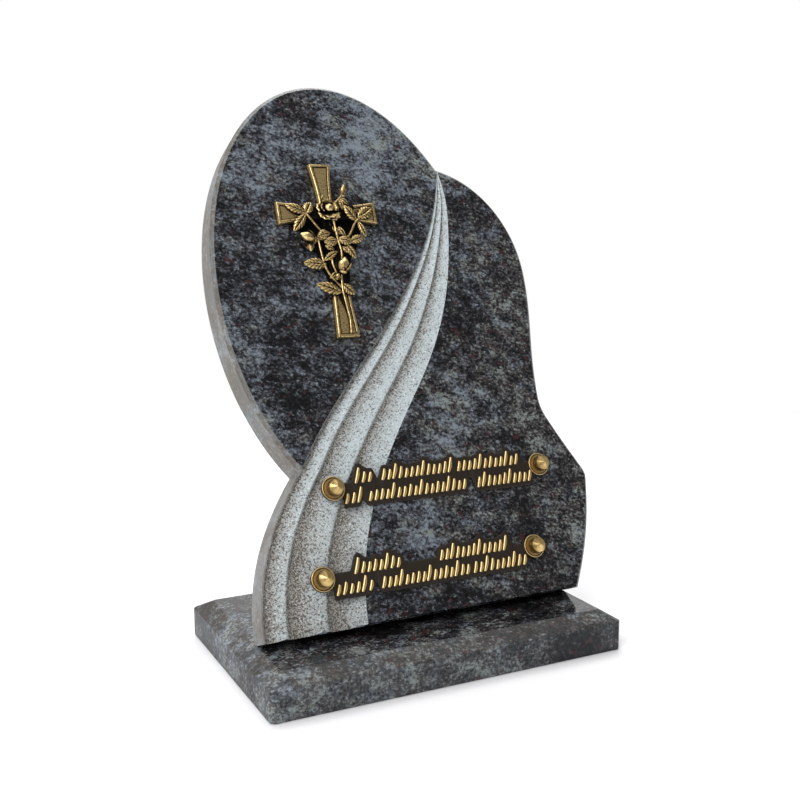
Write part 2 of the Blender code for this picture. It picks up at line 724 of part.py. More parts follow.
def make_plaque(name, middle, rows, parts, cutters, face, bronze):
    """Cast ground that follows its rows, with raised strokes and an ear at each end."""
    high = GAP + GROUND_THICKNESS
    half = STUD_SPACING / 2
    plaque = prism(ground_outline(ground_boxes(rows)), GAP, high, name, parts)
    raised = []
    for sign in (-1, 1):
        ear = [(sign * half + EAR_RADIUS * math.cos(2 * math.pi * i / STUD_STEPS),
                EAR_RADIUS * math.sin(2 * math.pi * i / STUD_STEPS)) for i in range(STUD_STEPS)]
        raised.append(prism(ear, GAP, GAP + EAR_THICKNESS, "ear", cutters))
    levels = (high - STROKE_RISE / 2, high + STROKE_RISE)
    for across, foot, height in stroke_places(rows):
        outline = stroke_outline(across, foot, height)
        sections = [[(x, y, z) for x, y in outline] for z in levels]
        raised.append(object_from_bmesh(loft(sections), "stroke", cutters))
    plaque = fused(plaque, raised, parts)
    radius = STUD_SHANK_RADIUS + GAP
    for sign in (-1, 1):
        bm = bmesh.new()
        bmesh.ops.create_cone(bm, cap_ends=True, segments=STUD_STEPS, radius1=radius,
                              radius2=radius, depth=4 * EAR_THICKNESS)
        bmesh.ops.translate(bm, vec=(sign * half, 0, EAR_THICKNESS), verts=bm.verts)
        hole = object_from_bmesh(bm, "hole_cutter", cutters)
        boolean(plaque, hole, "DIFFERENCE")
        plaque = made_mesh(plaque, parts, weld=False)
        bpy.data.objects.remove(hole, do_unlink=True)
    plaque.data.transform(Matrix.Translation((*middle, 0)))
    place_on_face(plaque, face)
    plaque.data.materials.clear()
    plaque.data.materials.append(bronze)
    return plaque


# Studs

def make_stud(name, across, up, parts, face, brass):
    """Turned stud: a shank through the ear and a cap with a shallow cone."""
    profile = ((STUD_FLAT_RADIUS, STUD_CAP_BASE + STUD_CAP_EDGE + STUD_CONE_RISE),
               (STUD_CAP_RADIUS - STUD_EDGE_EASE, STUD_CAP_BASE + STUD_CAP_EDGE),
               (STUD_CAP_RADIUS, STUD_CAP_BASE + STUD_CAP_EDGE - STUD_EDGE_EASE),
               (STUD_CAP_RADIUS, STUD_CAP_BASE),
               (STUD_SHANK_RADIUS, STUD_CAP_BASE),
               (STUD_SHANK_RADIUS, GAP))
    mesh = bpy.data.meshes.new(name)
    points = [(0, 0, profile[0][1]), *((r, 0, z) for r, z in profile), (0, 0, GAP)]
    mesh.from_pydata(points, [(i, i + 1) for i in range(len(points) - 1)], [])
    stud = bpy.data.objects.new(name, mesh)
    parts.objects.link(stud)
    screw = stud.modifiers.new("Turned", "SCREW")
    screw.axis = "Z"
    screw.steps = STUD_STEPS
    screw.render_steps = STUD_STEPS
    screw.use_merge_vertices = True
    screw.merge_threshold = WELD
    stud.location = (across, up, 0)
    place_on_face(stud, face)
    stud.data.materials.append(brass)
    return stud


def main():
    clear_scene()
    parts = new_collection("grave_plaque")
    cutters = new_collection("cutters")
    granite = material("plinth_granite", (0.07, 0.08, 0.10), 0.25, 0.0)
    stele_stone = material("stele_granite", (0.07, 0.08, 0.10), 0.2, 0.0)
    bronze = material("cross_bronze", (0.45, 0.33, 0.13), 0.4, 1.0)
    dark_bronze = material("plaque_bronze", (0.12, 0.08, 0.05), 0.5, 1.0)
    brass = material("stud_brass", (0.75, 0.52, 0.20), 0.3, 1.0)

    face = bpy.data.objects.new("stele_face", None)
    parts.objects.link(face)
    face.location = (0, FOOT_Y, PLINTH_HEIGHT + FOOT_LIFT)
    face.rotation_euler = (math.pi / 2 - LEAN, 0, 0)

    make_plinth(parts, granite)
    make_stele(parts, cutters, face, stele_stone)
    make_rose_cross(parts, cutters, face, bronze)
    plaques = (("upper", UPPER_PLAQUE_MIDDLE, UPPER_PLAQUE_ROWS),
               ("lower", LOWER_PLAQUE_MIDDLE, LOWER_PLAQUE_ROWS))
    for level, middle, rows in plaques:
        make_plaque(f"{level}_inscription_plaque", middle, rows, parts, cutters, face, dark_bronze)
        for side, sign in (("left", -1), ("right", 1)):
            across = middle[0] + sign * STUD_SPACING / 2
            make_stud(f"{level}_{side}_stud", across, middle[1], parts, face, brass)


main()
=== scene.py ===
"""Grave plaque: a leaning granite stele with bronze fittings on a bevelled plinth.

The stele leans back on its plinth. Its face is polished, its rims are honed, and a swag of
three flutes is sandblasted between the oval lobe and the shoulder. A bronze cross with
roses, two inscription plaques and their turned studs stand on the face.
"""

import math

import bmesh
import bpy
import numpy as np
from mathutils import Matrix, Vector, noise


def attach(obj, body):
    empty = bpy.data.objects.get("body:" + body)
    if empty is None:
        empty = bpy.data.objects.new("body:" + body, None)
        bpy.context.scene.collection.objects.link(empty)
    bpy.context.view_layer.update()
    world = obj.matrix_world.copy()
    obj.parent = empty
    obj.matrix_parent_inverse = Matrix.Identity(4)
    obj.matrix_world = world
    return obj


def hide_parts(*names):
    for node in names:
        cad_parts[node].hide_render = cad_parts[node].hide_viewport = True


bl_info = {
    "name": "Grave Plaque",
    "version": (1, 0, 0),
    "blender": (4, 5, 0),
    "location": "View3D > Sidebar > Grave Plaque",
    "description": "Builds a leaning granite grave plaque with bronze fittings",
    "category": "Add Mesh",
}

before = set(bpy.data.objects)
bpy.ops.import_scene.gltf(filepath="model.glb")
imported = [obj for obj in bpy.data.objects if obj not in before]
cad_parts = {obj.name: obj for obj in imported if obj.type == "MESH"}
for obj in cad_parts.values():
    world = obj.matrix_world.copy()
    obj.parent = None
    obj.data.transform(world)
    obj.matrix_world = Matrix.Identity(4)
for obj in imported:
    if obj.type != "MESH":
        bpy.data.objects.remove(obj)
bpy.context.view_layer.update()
MM = 0.001
GAP = 0.3
MERGE_DISTANCE = 1e-5

# How the face lies: x runs across, y up the slope and z out of the stone, all in millimetres
LEAN = math.radians(23.5)
PLINTH_TOP = 32.0
FOOT_PLACE = (0.0, -51.3, 41.336)
FACE = Matrix.Translation(Vector(FOOT_PLACE)) @ Matrix.Rotation(math.pi / 2 - LEAN, 4, "X")
TO_METRES = Matrix.Scale(MM, 4)

# The stele's outline on the face: points with their headings in degrees
LOBE = {"centre": (-11, 262), "half": (123.5, 190), "tilt": 3.8, "kink": 35, "notch": 225}
SHOULDER_LINE = ((151.5, 280, -90), (139.5, 164, -90), (149.6, 135, -63.9),
                 (165.4, 105.4, -61.8), (170.5, 90.4, -99.8), (138.5, 0, -118.8))
KINK_HEADING = -15.4
FOOT_LEFT = (-137.5, 0, 89)
NOTCH_HEADING = 51.2
SWAG_LEFT = ((17.2, 251, -127.2),)
SWAG_RIGHT = ((84.5, 335, -98), (24.8, 182.7, -126.3), (-55.5, 0, -92.3))
SWAG_HEADINGS = (-102.5, -84, -121.1)
CURVE_HANDLE = 0.37
LOBE_STEPS, SHOULDER_STEPS, LEFT_STEPS, SWAG_STEPS = 190, 24, 30, 60
FLUTE_STARTS = (0.0, 0.22, 0.61, 1.0)
FLUTE_SECTION = ((0.0, 0.0), (0.1, 0.85), (0.22, 1.0), (0.5, 0.72), (0.78, 0.28), (1.0, 0.0))


def srgb(red, green, blue):
    """Return a linear colour from the usual 0 to 255 values."""
    values = [c / 255 for c in (red, green, blue)]
    return tuple(c / 12.92 if c < 0.04045 else ((c + 0.055) / 1.055) ** 2.4 for c in values)


def colour(name, what, red, green, blue):
    """Return a colour property with its default."""
    return bpy.props.FloatVectorProperty(name=name, description=what, subtype="COLOR", size=3,
                                         min=0, max=1, default=srgb(red, green, blue))


def length(name, what, default, low=0.0, high=500.0):
    """Return a length property in millimetres."""
    return bpy.props.FloatProperty(name=name, description=what, default=default, min=low, max=high)


def share(name, what, default):
    """Return a property between nothing and all."""
    return bpy.props.FloatProperty(name=name, description=what, default=default, min=0, max=1,
                                   subtype="FACTOR")


# Settings

class GraniteSettings(bpy.types.PropertyGroup):
    """Colours and grain of the granite."""

    black: colour("Mica", "Darkest grains", 10, 10, 12)
    slate: colour("Slate", "Dark grey ground", 32, 33, 36)
    blue: colour("Blue grey", "Middle blue-grey grains", 68, 71, 78)
    brown: colour("Warm grey", "Middle grains with a warm cast", 67, 63, 61)
    pale: colour("Feldspar", "Pale greenish grains", 132, 141, 138)
    cool: colour("Cool feldspar", "Pale blue grains", 125, 134, 144)
    garnet: colour("Garnet", "Sparse red grains", 64, 36, 36)
    honed: colour("Honed", "Bloom of the honed rims", 156, 164, 169)
    rust: colour("Rust", "Brown cast of the honed sides", 130, 120, 106)
    blasted: colour("Blasted ridge", "Sandblasted stone on the ridges", 188, 199, 203)
    # The hollows' colour: the stone's brown cast with painted shade in it
    hollow: colour("Blasted hollow", "Sandblasted stone in the hollows", 156, 153, 145)
    speck: colour("Blasted specks", "Dark specks in the sandblasted stone", 58, 50, 46)
    grain: length("Grain", "Size of the grains in millimetres", 11, 0.5, 50)
    cloud: length("Cloud", "Size of the paler and darker clouds in millimetres", 48, 5, 200)
    polish: share("Polish roughness", "Roughness of the polished faces", 0.09)


class SteleSettings(bpy.types.PropertyGroup):
    """Sizes of the leaning slab in millimetres."""

    thickness: length("Thickness", "Thickness of the slab", 28)
    front_chamfer: length("Front chamfer", "Width of the chamfer round the face", 3)
    foot_chamfer: length("Foot chamfer", "Width of the chamfer along the foot", 1.3)
    back_chamfer: length("Back chamfer", "Width of the chamfer round the back", 1)
    flute_depth: length("Flute depth", "Depth of the flutes", 4)
    ridge_depth: length("Ridge depth", "Depth of the ridges between the flutes", 0.8)
    blast_relief: length("Blast relief", "Height of the sandblasted grain", 0.16)


class PlinthSettings(bpy.types.PropertyGroup):
    """Sizes of the base slab in millimetres."""

    width: length("Width", "Side to side", 300)
    depth: length("Depth", "Front to back", 188)
    edge: length("Edge height", "Height of the upright sides", 24)
    bevel_run: length("Bevel run", "How far the top bevel reaches inwards", 13)
    corner: length("Corner arris", "Flat on the upright corners", 3)
    arris: length("Arris", "Rounding of every edge", 0.5)


class CrossSettings(bpy.types.PropertyGroup):
    """Sizes of the rose cross in millimetres."""

    end_width: length("End width", "Width of the arms at their ends", 19)
    waist_width: length("Waist width", "Width of the arms at the crossing", 11)
    plate: length("Plate", "Thickness of the cross", 6)
    rim: length("Rim", "Width of the raised rim", 2.4)
    recess: length("Recess", "Depth of the sunk face", 0.7)
    stem: length("Stem", "Radius of the stems", 1.0)
    fold: length("Leaf fold", "How far a leaf swells on each side of its midrib", 1.1)


class PlaqueSettings(bpy.types.PropertyGroup):
    """Sizes of the inscription plaques in millimetres."""

    ground: length("Ground", "Thickness of the ground", 2.4)
    margin: length("Margin", "Ground left round the strokes", 2.0)
    ear: length("Ear", "Radius of the ears", 9.6)
    stroke: length("Stroke width", "Width of a stroke", 3.0)
    rise: length("Stroke rise", "How far a stroke stands off the ground", 1.15)
    pitch: length("Stroke pitch", "Distance between strokes", 4.8)
    short: length("Short stroke", "Height of most strokes", 8.4)
    tall: length("Tall stroke", "Height of every fifth stroke", 12.6)
    slant: bpy.props.FloatProperty(name="Slant", description="How far the strokes lean",
                                   default=0.38, min=-1, max=1)


class StudSettings(bpy.types.PropertyGroup):
    """Sizes of the studs in millimetres."""

    cap: length("Cap", "Radius of the cap", 6.6)
    shank: length("Shank", "Radius of the shank", 4.4)
    base: length("Cap base", "Height of the cap's underside over the face", 4.4)
    edge: length("Cap edge", "Height of the cap's straight side", 6)
    cone: length("Cone", "Rise of the cone on the cap", 2.4)
    taper: length("Taper", "How far the cap's side draws in towards its rim", 0.7)


class BronzeSettings(bpy.types.PropertyGroup):
    """Colours of the cast and turned fittings."""

    gold: colour("Rubbed bronze", "Golden crests", 232, 204, 144)
    dull: colour("Dull bronze", "Slopes between crest and recess", 126, 102, 62)
    # Black of the patina in the recesses, and of the shade painted behind the stems and on the web
    patina_and_shade: colour("Patina", "Black in the recesses", 9, 7, 6)
    ground: colour("Plaque ground", "Brown ground of the plaques", 44, 35, 27)
    brass: colour("Turned brass", "Studs", 236, 202, 136)


class StageSettings(bpy.types.PropertyGroup):
    """Camera and studio light."""

    focal: bpy.props.FloatProperty(name="Focal length", description="Lens in millimetres",
                                   default=48.6, min=10, max=300)
    key: bpy.props.FloatProperty(name="Key light", description="Power of the key light in watts",
                                 default=30, min=0, max=500)
    fill: bpy.props.FloatProperty(name="Fill", description="Strength of the studio's fill",
                                  default=1.0, min=0, max=5)
    floor: colour("Floor", "Colour of the floor", 246, 246, 247)


# Curves on the face

def curve_through(keys, steps):
    """Return points on cubic arcs between keys of across, up and heading in degrees."""
    points = []
    for start, end in zip(keys, keys[1:]):
        first, last = Vector(start[:2]), Vector(end[:2])
        reach = CURVE_HANDLE * (last - first).length
        out, back = math.radians(start[2]), math.radians(end[2])
        near = first + reach * Vector((math.cos(out), math.sin(out)))
        far = last - reach * Vector((math.cos(back), math.sin(back)))
        for i in range(steps):
            t = i / steps
            points.append((1 - t) ** 3 * first + 3 * t * (1 - t) ** 2 * near
                          + 3 * t * t * (1 - t) * far + t ** 3 * last)
    points.append(Vector(keys[-1][:2]))
    return points


def lobe_point(degrees):
    """Return the lobe's outline at an angle counted from its right side."""
    turn = math.radians(degrees)
    point = Vector((LOBE["half"][0] * math.cos(turn), LOBE["half"][1] * math.sin(turn)))
    return Vector(LOBE["centre"]) + Matrix.Rotation(math.radians(LOBE["tilt"]), 2) @ point


def left_line():
    """Return the lower left side from the foot up to the notch."""
    return curve_through((FOOT_LEFT, (*lobe_point(LOBE["notch"]), NOTCH_HEADING)), LEFT_STEPS)


def stele_outline():
    """Return the whole outline, running anticlockwise from the kink over the lobe."""
    kink, notch = LOBE["kink"], LOBE["notch"]
    lobe = [lobe_point(kink + (notch - kink) * i / LOBE_STEPS) for i in range(LOBE_STEPS + 1)]
    right = curve_through(((*lobe[0], KINK_HEADING), *SHOULDER_LINE), SHOULDER_STEPS)
    return lobe + left_line()[-2::-1] + right[:0:-1]


def swag_edges():
    """Return the left and right edges of the swag from the kink down to the foot."""
    kink, notch = lobe_point(LOBE["kink"]), lobe_point(LOBE["notch"])
    first, second, last = SWAG_HEADINGS
    left = curve_through(((*kink, first), *SWAG_LEFT, (*notch, last)), SWAG_STEPS)
    right = curve_through(((*kink, second), *SWAG_RIGHT), SWAG_STEPS)
    return left + left_line()[-2::-1], right


def crossings(line, heights):
    """Return where a falling line passes the given heights."""
    ys = np.array([p.y for p in line])[::-1]
    xs = np.array([p.x for p in line])[::-1]
    return np.interp(heights, ys, xs)


def inset_ring(points, width, foot_width):
    """Return an anticlockwise outline drawn in by a width, and by another along the foot."""
    ring = []
    for i, point in enumerate(points):
        before, after = points[i - 1], points[(i + 1) % len(points)]
        sides = []
        for start, end in ((before, point), (point, after)):
            run = (end - start).normalized()
            on_foot = abs(start.y) < 1e-6 and abs(end.y) < 1e-6
            sides.append((Vector((-run.y, run.x)), foot_width if on_foot else width))
        (n0, w0), (n1, w1) = sides
        cross = n0.x * n1.y - n0.y * n1.x
        if abs(cross) < 0.05:
            ring.append(point + (n0 + n1) * w0 / (1 + n0.dot(n1)))
        else:
            shift = Vector(((w0 * n1.y - w1 * n0.y) / cross, (w1 * n0.x - w0 * n1.x) / cross))
            ring.append(point + shift)
    return ring


# Mesh helpers

def mesh_object(name, points, faces, materials=()):
    """Return an object from points in millimetres on the face."""
    mesh = bpy.data.meshes.new(name)
    mesh.from_pydata([tuple(p) for p in points], [], faces)
    obj = bpy.data.objects.new(name, mesh)
    bpy.context.scene.collection.objects.link(obj)
    for finish in materials:
        if finish:
            mesh.materials.append(finish)
    return obj


def ring_faces(rings, count, close=True):
    """Return quads between stacked rings of one point count, and their end caps."""
    faces = []
    for r in range(rings - 1):
        for i in range(count):
            j = (i + 1) % count
            faces.append((r * count + i, r * count + j, (r + 1) * count + j, (r + 1) * count + i))
    if close:
        faces.append(tuple(reversed(range(count))))
        faces.append(tuple((rings - 1) * count + i for i in range(count)))
    return faces


def outward(mesh, merge=True):
    """Turn every face outwards, with doubles merged unless told otherwise."""
    bm = bmesh.new()
    bm.from_mesh(mesh)
    if merge:
        bmesh.ops.remove_doubles(bm, verts=bm.verts, dist=MERGE_DISTANCE)
    bmesh.ops.recalc_face_normals(bm, faces=bm.faces)
    bm.to_mesh(mesh)
    bm.free()


def baked(obj):
    """Make the object one plain mesh with its modifiers made."""
    bpy.context.view_layer.update()
    shaped = obj.evaluated_get(bpy.context.evaluated_depsgraph_get())
    mesh = bpy.data.meshes.new_from_object(shaped, preserve_all_data_layers=True,
                                           depsgraph=bpy.context.evaluated_depsgraph_get())
    obj.modifiers.clear()
    obj.data = mesh


def cut(obj, tool):
    """Cut one closed mesh from another and keep the tool's finish on the new faces."""
    modifier = obj.modifiers.new("Cut", "BOOLEAN")
    modifier.operation = "DIFFERENCE"
    modifier.solver = "EXACT"
    modifier.material_mode = "TRANSFER"
    modifier.object = tool
    baked(obj)
    bpy.data.objects.remove(tool, do_unlink=True)


def place(obj, matrix, angle=35):
    """Move a mesh from millimetres to its place, and shade it smooth but for sharp edges."""
    obj.data.transform(TO_METRES @ matrix)
    obj.data.shade_smooth()
    obj.data.set_sharp_from_angle(angle=math.radians(angle))


def finish_piece(obj, slot, *nodes):
    """Let a piece ride with the plaque in place of its solids."""
    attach(obj, "root")
    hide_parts(*nodes)


def object_from(name, bm, finish):
    """Return an object from an edit mesh, with one finish."""
    mesh = bpy.data.meshes.new(name)
    bm.to_mesh(mesh)
    bm.free()
    mesh.materials.append(finish)
    obj = bpy.data.objects.new(name, mesh)
    bpy.context.scene.collection.objects.link(obj)
    return obj


def chip(name, centre, size, seed, finish):
    """Return a small broken lump for cutting a chip out of an edge."""
    bm = bmesh.new()
    bmesh.ops.create_icosphere(bm, subdivisions=3, radius=1)
    for vert in bm.verts:
        rough = noise.fractal(vert.co * 1.7 + Vector((seed * 7.3, 0, 0)), 1.0, 2.0, 3)
        vert.co = vert.co * (1 + 0.45 * rough)
        vert.co = Vector(c * s for c, s in zip(vert.co, size)) + Vector(centre)
    return object_from(name, bm, finish)


# Shader helpers

def wire(tree, node, **inputs):
    """Give a node's inputs their values, or link them to the sockets they come from."""
    for key, value in inputs.items():
        socket = node.inputs[key.replace("_", " ")]
        if isinstance(value, bpy.types.NodeSocket):
            tree.links.new(value, socket)
        else:
            socket.default_value = value


def add(tree, kind, settings=(), **inputs):
    """Add a shader node with its settings and inputs."""
    node = tree.nodes.new("ShaderNode" + kind)
    for key, value in dict(settings).items():
        setattr(node, key, value)
    wire(tree, node, **inputs)
    return node


def calc(tree, operation, first, second=0.0, clamp=False):
    """Add a sum and return its result."""
    node = tree.nodes.new("ShaderNodeMath")
    node.operation = operation
    node.use_clamp = clamp
    for socket, value in zip(node.inputs, (first, second)):
        if isinstance(value, bpy.types.NodeSocket):
            tree.links.new(value, socket)
        else:
            socket.default_value = value
    return node.outputs[0]


def centred(tree, value, weight):
    """Return a noise value counted from its middle, times a weight."""
    return calc(tree, "MULTIPLY", calc(tree, "SUBTRACT", value, 0.5), weight)


def blend(tree, factor, first, second):
    """Mix two colours and return the result."""
    node = tree.nodes.new("ShaderNodeMix")
    node.data_type = "RGBA"
    for index, value in ((0, factor), (6, first), (7, second)):
        if isinstance(value, bpy.types.NodeSocket):
            tree.links.new(value, node.inputs[index])
        elif index == 0:
            node.inputs[index].default_value = value
        else:
            node.inputs[index].default_value = (*value, 1)
    return node.outputs[2]


def spread(tree, value, low, high, to_low=0.0, to_high=1.0):
    """Stretch a range of values to another and clamp it."""
    node = add(tree, "MapRange", {"clamp": True, "interpolation_type": "SMOOTHSTEP"}, Value=value,
               From_Min=low, From_Max=high, To_Min=to_low, To_Max=to_high)
    return node.outputs[0]


def ramp(tree, value, stops):
    """Return a colour ramp's result."""
    stops = tuple(stops)
    node = tree.nodes.new("ShaderNodeValToRGB")
    tree.links.new(value, node.inputs[0])
    elements = node.color_ramp.elements
    while len(elements) < len(stops):
        elements.new(0.5)
    for element, (position, shade) in zip(elements, stops):
        element.position = position
        element.color = (*shade, 1)
    return node.outputs[0]


def speckle(tree, vector, size, detail=2.0, roughness=0.5):
    """Return noise with features of a size in millimetres."""
    node = add(tree, "TexNoise", Vector=vector, Scale=1 / size, Detail=detail, Roughness=roughness)
    return node.outputs["Fac"]


def stored(tree, name):
    """Return a value that the mesh stores under a name."""
    return add(tree, "Attribute", {"attribute_name": name}).outputs["Fac"]


def relief(tree, shader, strength, distance, height):
    """Let a pattern stand out of the surface by a distance in metres."""
    bump = add(tree, "Bump", Strength=strength, Distance=distance, Height=height)
    wire(tree, shader, Normal=bump.outputs[0])


def new_material(name):
    """Return a material with its tree and its shader."""
    made = bpy.data.materials.new(name)
    made.use_nodes = True
    return made, made.node_tree, made.node_tree.nodes["Principled BSDF"]


def face_coordinates(tree, turn=0.0, stretch=(1.0, 1.0, 1.0), shift=(0, 0, 0)):
    """Return object coordinates in millimetres along the face, turned and squeezed."""
    place_in = add(tree, "TexCoord").outputs["Object"]
    upright = add(tree, "Mapping", Vector=place_in, Scale=(1000, 1000, 1000),
                  Rotation=(LEAN - math.pi / 2, 0, 0)).outputs[0]
    turned = add(tree, "Mapping", Vector=upright, Rotation=(0, 0, turn)).outputs[0]
    return add(tree, "Mapping", Vector=turned, Scale=stretch, Location=shift).outputs[0]


# Finishes

GRAIN_TURN = math.radians(14)
GRAIN_STOPS = (0.1, 0.36, 0.6, 0.98)
BLASTED_FLECK = (0.88, 0.9, 0.92)
BLASTED_LIGHT = (0.8, 0.84, 0.87)


def granite_grain(tree, stone, shift):
    """Return the granite's colour and its grain as a value."""
    fabric = face_coordinates(tree, GRAIN_TURN, (0.8, 1, 1), shift)
    bands = face_coordinates(tree, GRAIN_TURN, (0.3, 1, 0.8), shift)
    warp = add(tree, "TexNoise", Vector=fabric, Scale=1 / 9, Detail=3.0)
    swirl = add(tree, "VectorMath", {"operation": "MULTIPLY_ADD"})
    tree.links.new(warp.outputs["Color"], swirl.inputs[0])
    swirl.inputs[1].default_value = (3.5, 3.5, 3.5)
    tree.links.new(fabric, swirl.inputs[2])
    woven = swirl.outputs[0]
    cells = add(tree, "TexVoronoi", Vector=woven, Scale=1 / 2.1, Randomness=1.0)
    cell = add(tree, "SeparateColor", Color=cells.outputs["Color"]).outputs[0]
    tone = 0.5
    for value, weight in ((speckle(tree, woven, stone.grain, 5.0, 0.76), 1.7),
                          (speckle(tree, fabric, 2.2, 2.0, 0.6), 1.3),
                          (speckle(tree, fabric, stone.cloud, 2.0), 1.1),
                          (speckle(tree, bands, 9, 3.0), 0.6), (cell, 0.3)):
        tone = calc(tree, "ADD", centred(tree, value, weight), tone)
    across, up = add(tree, "SeparateXYZ", Vector=fabric).outputs[:2]
    tone = calc(tree, "ADD", tone, spread(tree, up, 300, 430, 0.0, 0.13))
    drift = spread(tree, across, -60, 80, 0.07, -0.07)
    cast = spread(tree, calc(tree, "ADD", speckle(tree, woven, 15, 3.0, 0.6), drift), 0.4, 0.6)
    warm, cold = (ramp(tree, tone, zip(GRAIN_STOPS, (stone.black, stone.slate, middle, light)))
                  for middle, light in ((stone.brown, stone.pale), (stone.blue, stone.cool)))
    shades = blend(tree, cast, warm, cold)
    fleck = spread(tree, speckle(tree, fabric, 1.5, 1.0, 0.5), 0.63, 0.7, 0.0, 0.55)
    lit = calc(tree, "MULTIPLY", fleck, spread(tree, tone, 0.35, 0.6))
    shades = blend(tree, lit, shades, stone.honed)
    red = spread(tree, speckle(tree, woven, 6.5, 2.0, 0.6), 0.61, 0.69)
    dim = spread(tree, tone, 0.75, 0.4)
    shades = blend(tree, calc(tree, "MULTIPLY", red, dim), shades, stone.garnet)
    return shades, tone


def polished_granite(name, stone, shift, roughness):
    """Glossy granite that shows its full pattern."""
    made, tree, shader = new_material(name)
    shades, tone = granite_grain(tree, stone, shift)
    fine = speckle(tree, face_coordinates(tree), 1.1, 2.0)
    rough = spread(tree, fine, 0.3, 0.7, roughness * 0.7, roughness * 1.5)
    wire(tree, shader, Base_Color=shades, Roughness=rough, IOR=1.5)
    relief(tree, shader, 0.03, 0.0002, tone)
    return made


def honed_granite(name, stone, shift, tint, bloom):
    """Matt granite with a pale bloom and fine saw marks."""
    made, tree, shader = new_material(name)
    shades = granite_grain(tree, stone, shift)[0]
    marks = speckle(tree, face_coordinates(tree, 0, (0.9, 0.12, 0.9)), 1.3, 3.0, 0.6)
    patch = spread(tree, speckle(tree, face_coordinates(tree), 40, 3.0), 0.38, 0.6, 0.25, 1.0)
    streaks = calc(tree, "MULTIPLY", spread(tree, marks, 0.35, 0.65), patch)
    mixed = blend(tree, bloom, shades, blend(tree, streaks, tint, stone.honed))
    wire(tree, shader, Base_Color=mixed, Roughness=spread(tree, marks, 0.3, 0.7, 0.34, 0.56),
         Specular_IOR_Level=0.2)
    relief(tree, shader, 0.18, 0.0003, marks)
    return made


def blasted_granite(name, stone, shift):
    """Rough pale granite: bright on the ridges, brown and speckled in the hollows, where shade is painted
    into the brown.
    """
    made, tree, shader = new_material(name)
    tone = granite_grain(tree, stone, shift)[1]
    flat = face_coordinates(tree)
    low = spread(tree, add(tree, "SeparateXYZ", Vector=flat).outputs[1], 190, 40, 0.0, 0.35)
    # Painted shade with the brown cast: darkest just past each ridge, and more of it towards the foot
    hollow = calc(tree, "ADD", stored(tree, "hollow"), low)
    shade = calc(tree, "ADD", hollow, centred(tree, speckle(tree, flat, 5, 5.0, 0.75), 1.7), True)
    ground = blend(tree, shade, stone.blasted, stone.hollow)
    pits = speckle(tree, flat, 1.5, 2.0, 0.75)
    threshold = calc(tree, "ADD", pits, calc(tree, "MULTIPLY", shade, 0.12))
    specks = calc(tree, "MULTIPLY", spread(tree, threshold, 0.55, 0.67), 0.85)
    ground = blend(tree, specks, ground, stone.speck)
    flecks = speckle(tree, face_coordinates(tree, 0.6), 1.3, 2.0, 0.7)
    ground = blend(tree, spread(tree, flecks, 0.60, 0.68, 0.0, 0.8), ground, BLASTED_FLECK)
    light = blend(tree, spread(tree, tone, 0.8, 1.2, 0.0, 0.3), ground, BLASTED_LIGHT)
    wire(tree, shader, Base_Color=light, Roughness=0.85)
    relief(tree, shader, 0.55, 0.0006, speckle(tree, flat, 0.8, 3.0, 0.7))
    return made


def cast_bronze(name, bronze):
    """Cast bronze, worn to gold on its crests, black in its recesses, and black where shade is painted
    behind the stems and on the web.
    """
    made, tree, shader = new_material(name)
    flat = face_coordinates(tree)
    open_sky = add(tree, "AmbientOcclusion", {"samples": 8}, Distance=0.006).outputs["AO"]
    mottle = speckle(tree, flat, 1.6, 3.0, 0.65)
    # The stored value holds the worn crests and the painted shade behind the stems; less open sky makes
    # it darker
    wear_and_shade_level = calc(tree, "ADD", stored(tree, "wear_and_shade"), centred(tree, mottle, 0.9))
    pits = spread(tree, speckle(tree, flat, 1.1, 2.0, 0.6), 0.34, 0.43, 0.4, 1.0)
    wear_and_shade_level = calc(tree, "MULTIPLY", spread(tree, wear_and_shade_level, 0.15, 1.0), spread(tree, open_sky, 0.4, 0.86))
    wear_and_shade_level = calc(tree, "MULTIPLY", wear_and_shade_level, pits)
    shades = ramp(tree, wear_and_shade_level, ((0.0, bronze.patina_and_shade), (0.22, bronze.patina_and_shade), (0.55, bronze.dull),
                                 (1.0, bronze.gold)))
    wire(tree, shader, Base_Color=shades, Roughness=spread(tree, wear_and_shade_level, 0, 1, 0.55, 0.36),
         Specular_IOR_Level=spread(tree, wear_and_shade_level, 0, 0.3, 0.1, 0.5),
         Metallic=spread(tree, wear_and_shade_level, 0, 0.4, 0.25, 1.0))
    relief(tree, shader, 0.35, 0.0004, mottle)
    return made


def plaque_bronze(name, bronze):
    """Cast bronze with a dark brown ground and golden strokes and ears."""
    made, tree, shader = new_material(name)
    mottle = speckle(tree, face_coordinates(tree), 1.3, 3.0, 0.65)
    wear_and_shade_level = calc(tree, "ADD", stored(tree, "wear_and_shade"), centred(tree, mottle, 0.5))
    wear_and_shade_level = spread(tree, wear_and_shade_level, 0.25, 0.8)
    shades = ramp(tree, wear_and_shade_level, ((0.0, bronze.ground), (0.45, bronze.dull), (0.85, bronze.gold)))
    wire(tree, shader, Base_Color=shades, Roughness=spread(tree, wear_and_shade_level, 0, 1, 0.5, 0.42),
         Metallic=spread(tree, wear_and_shade_level, 0, 0.4, 0.3, 1.0))
    relief(tree, shader, 0.3, 0.0003, mottle)
    return made


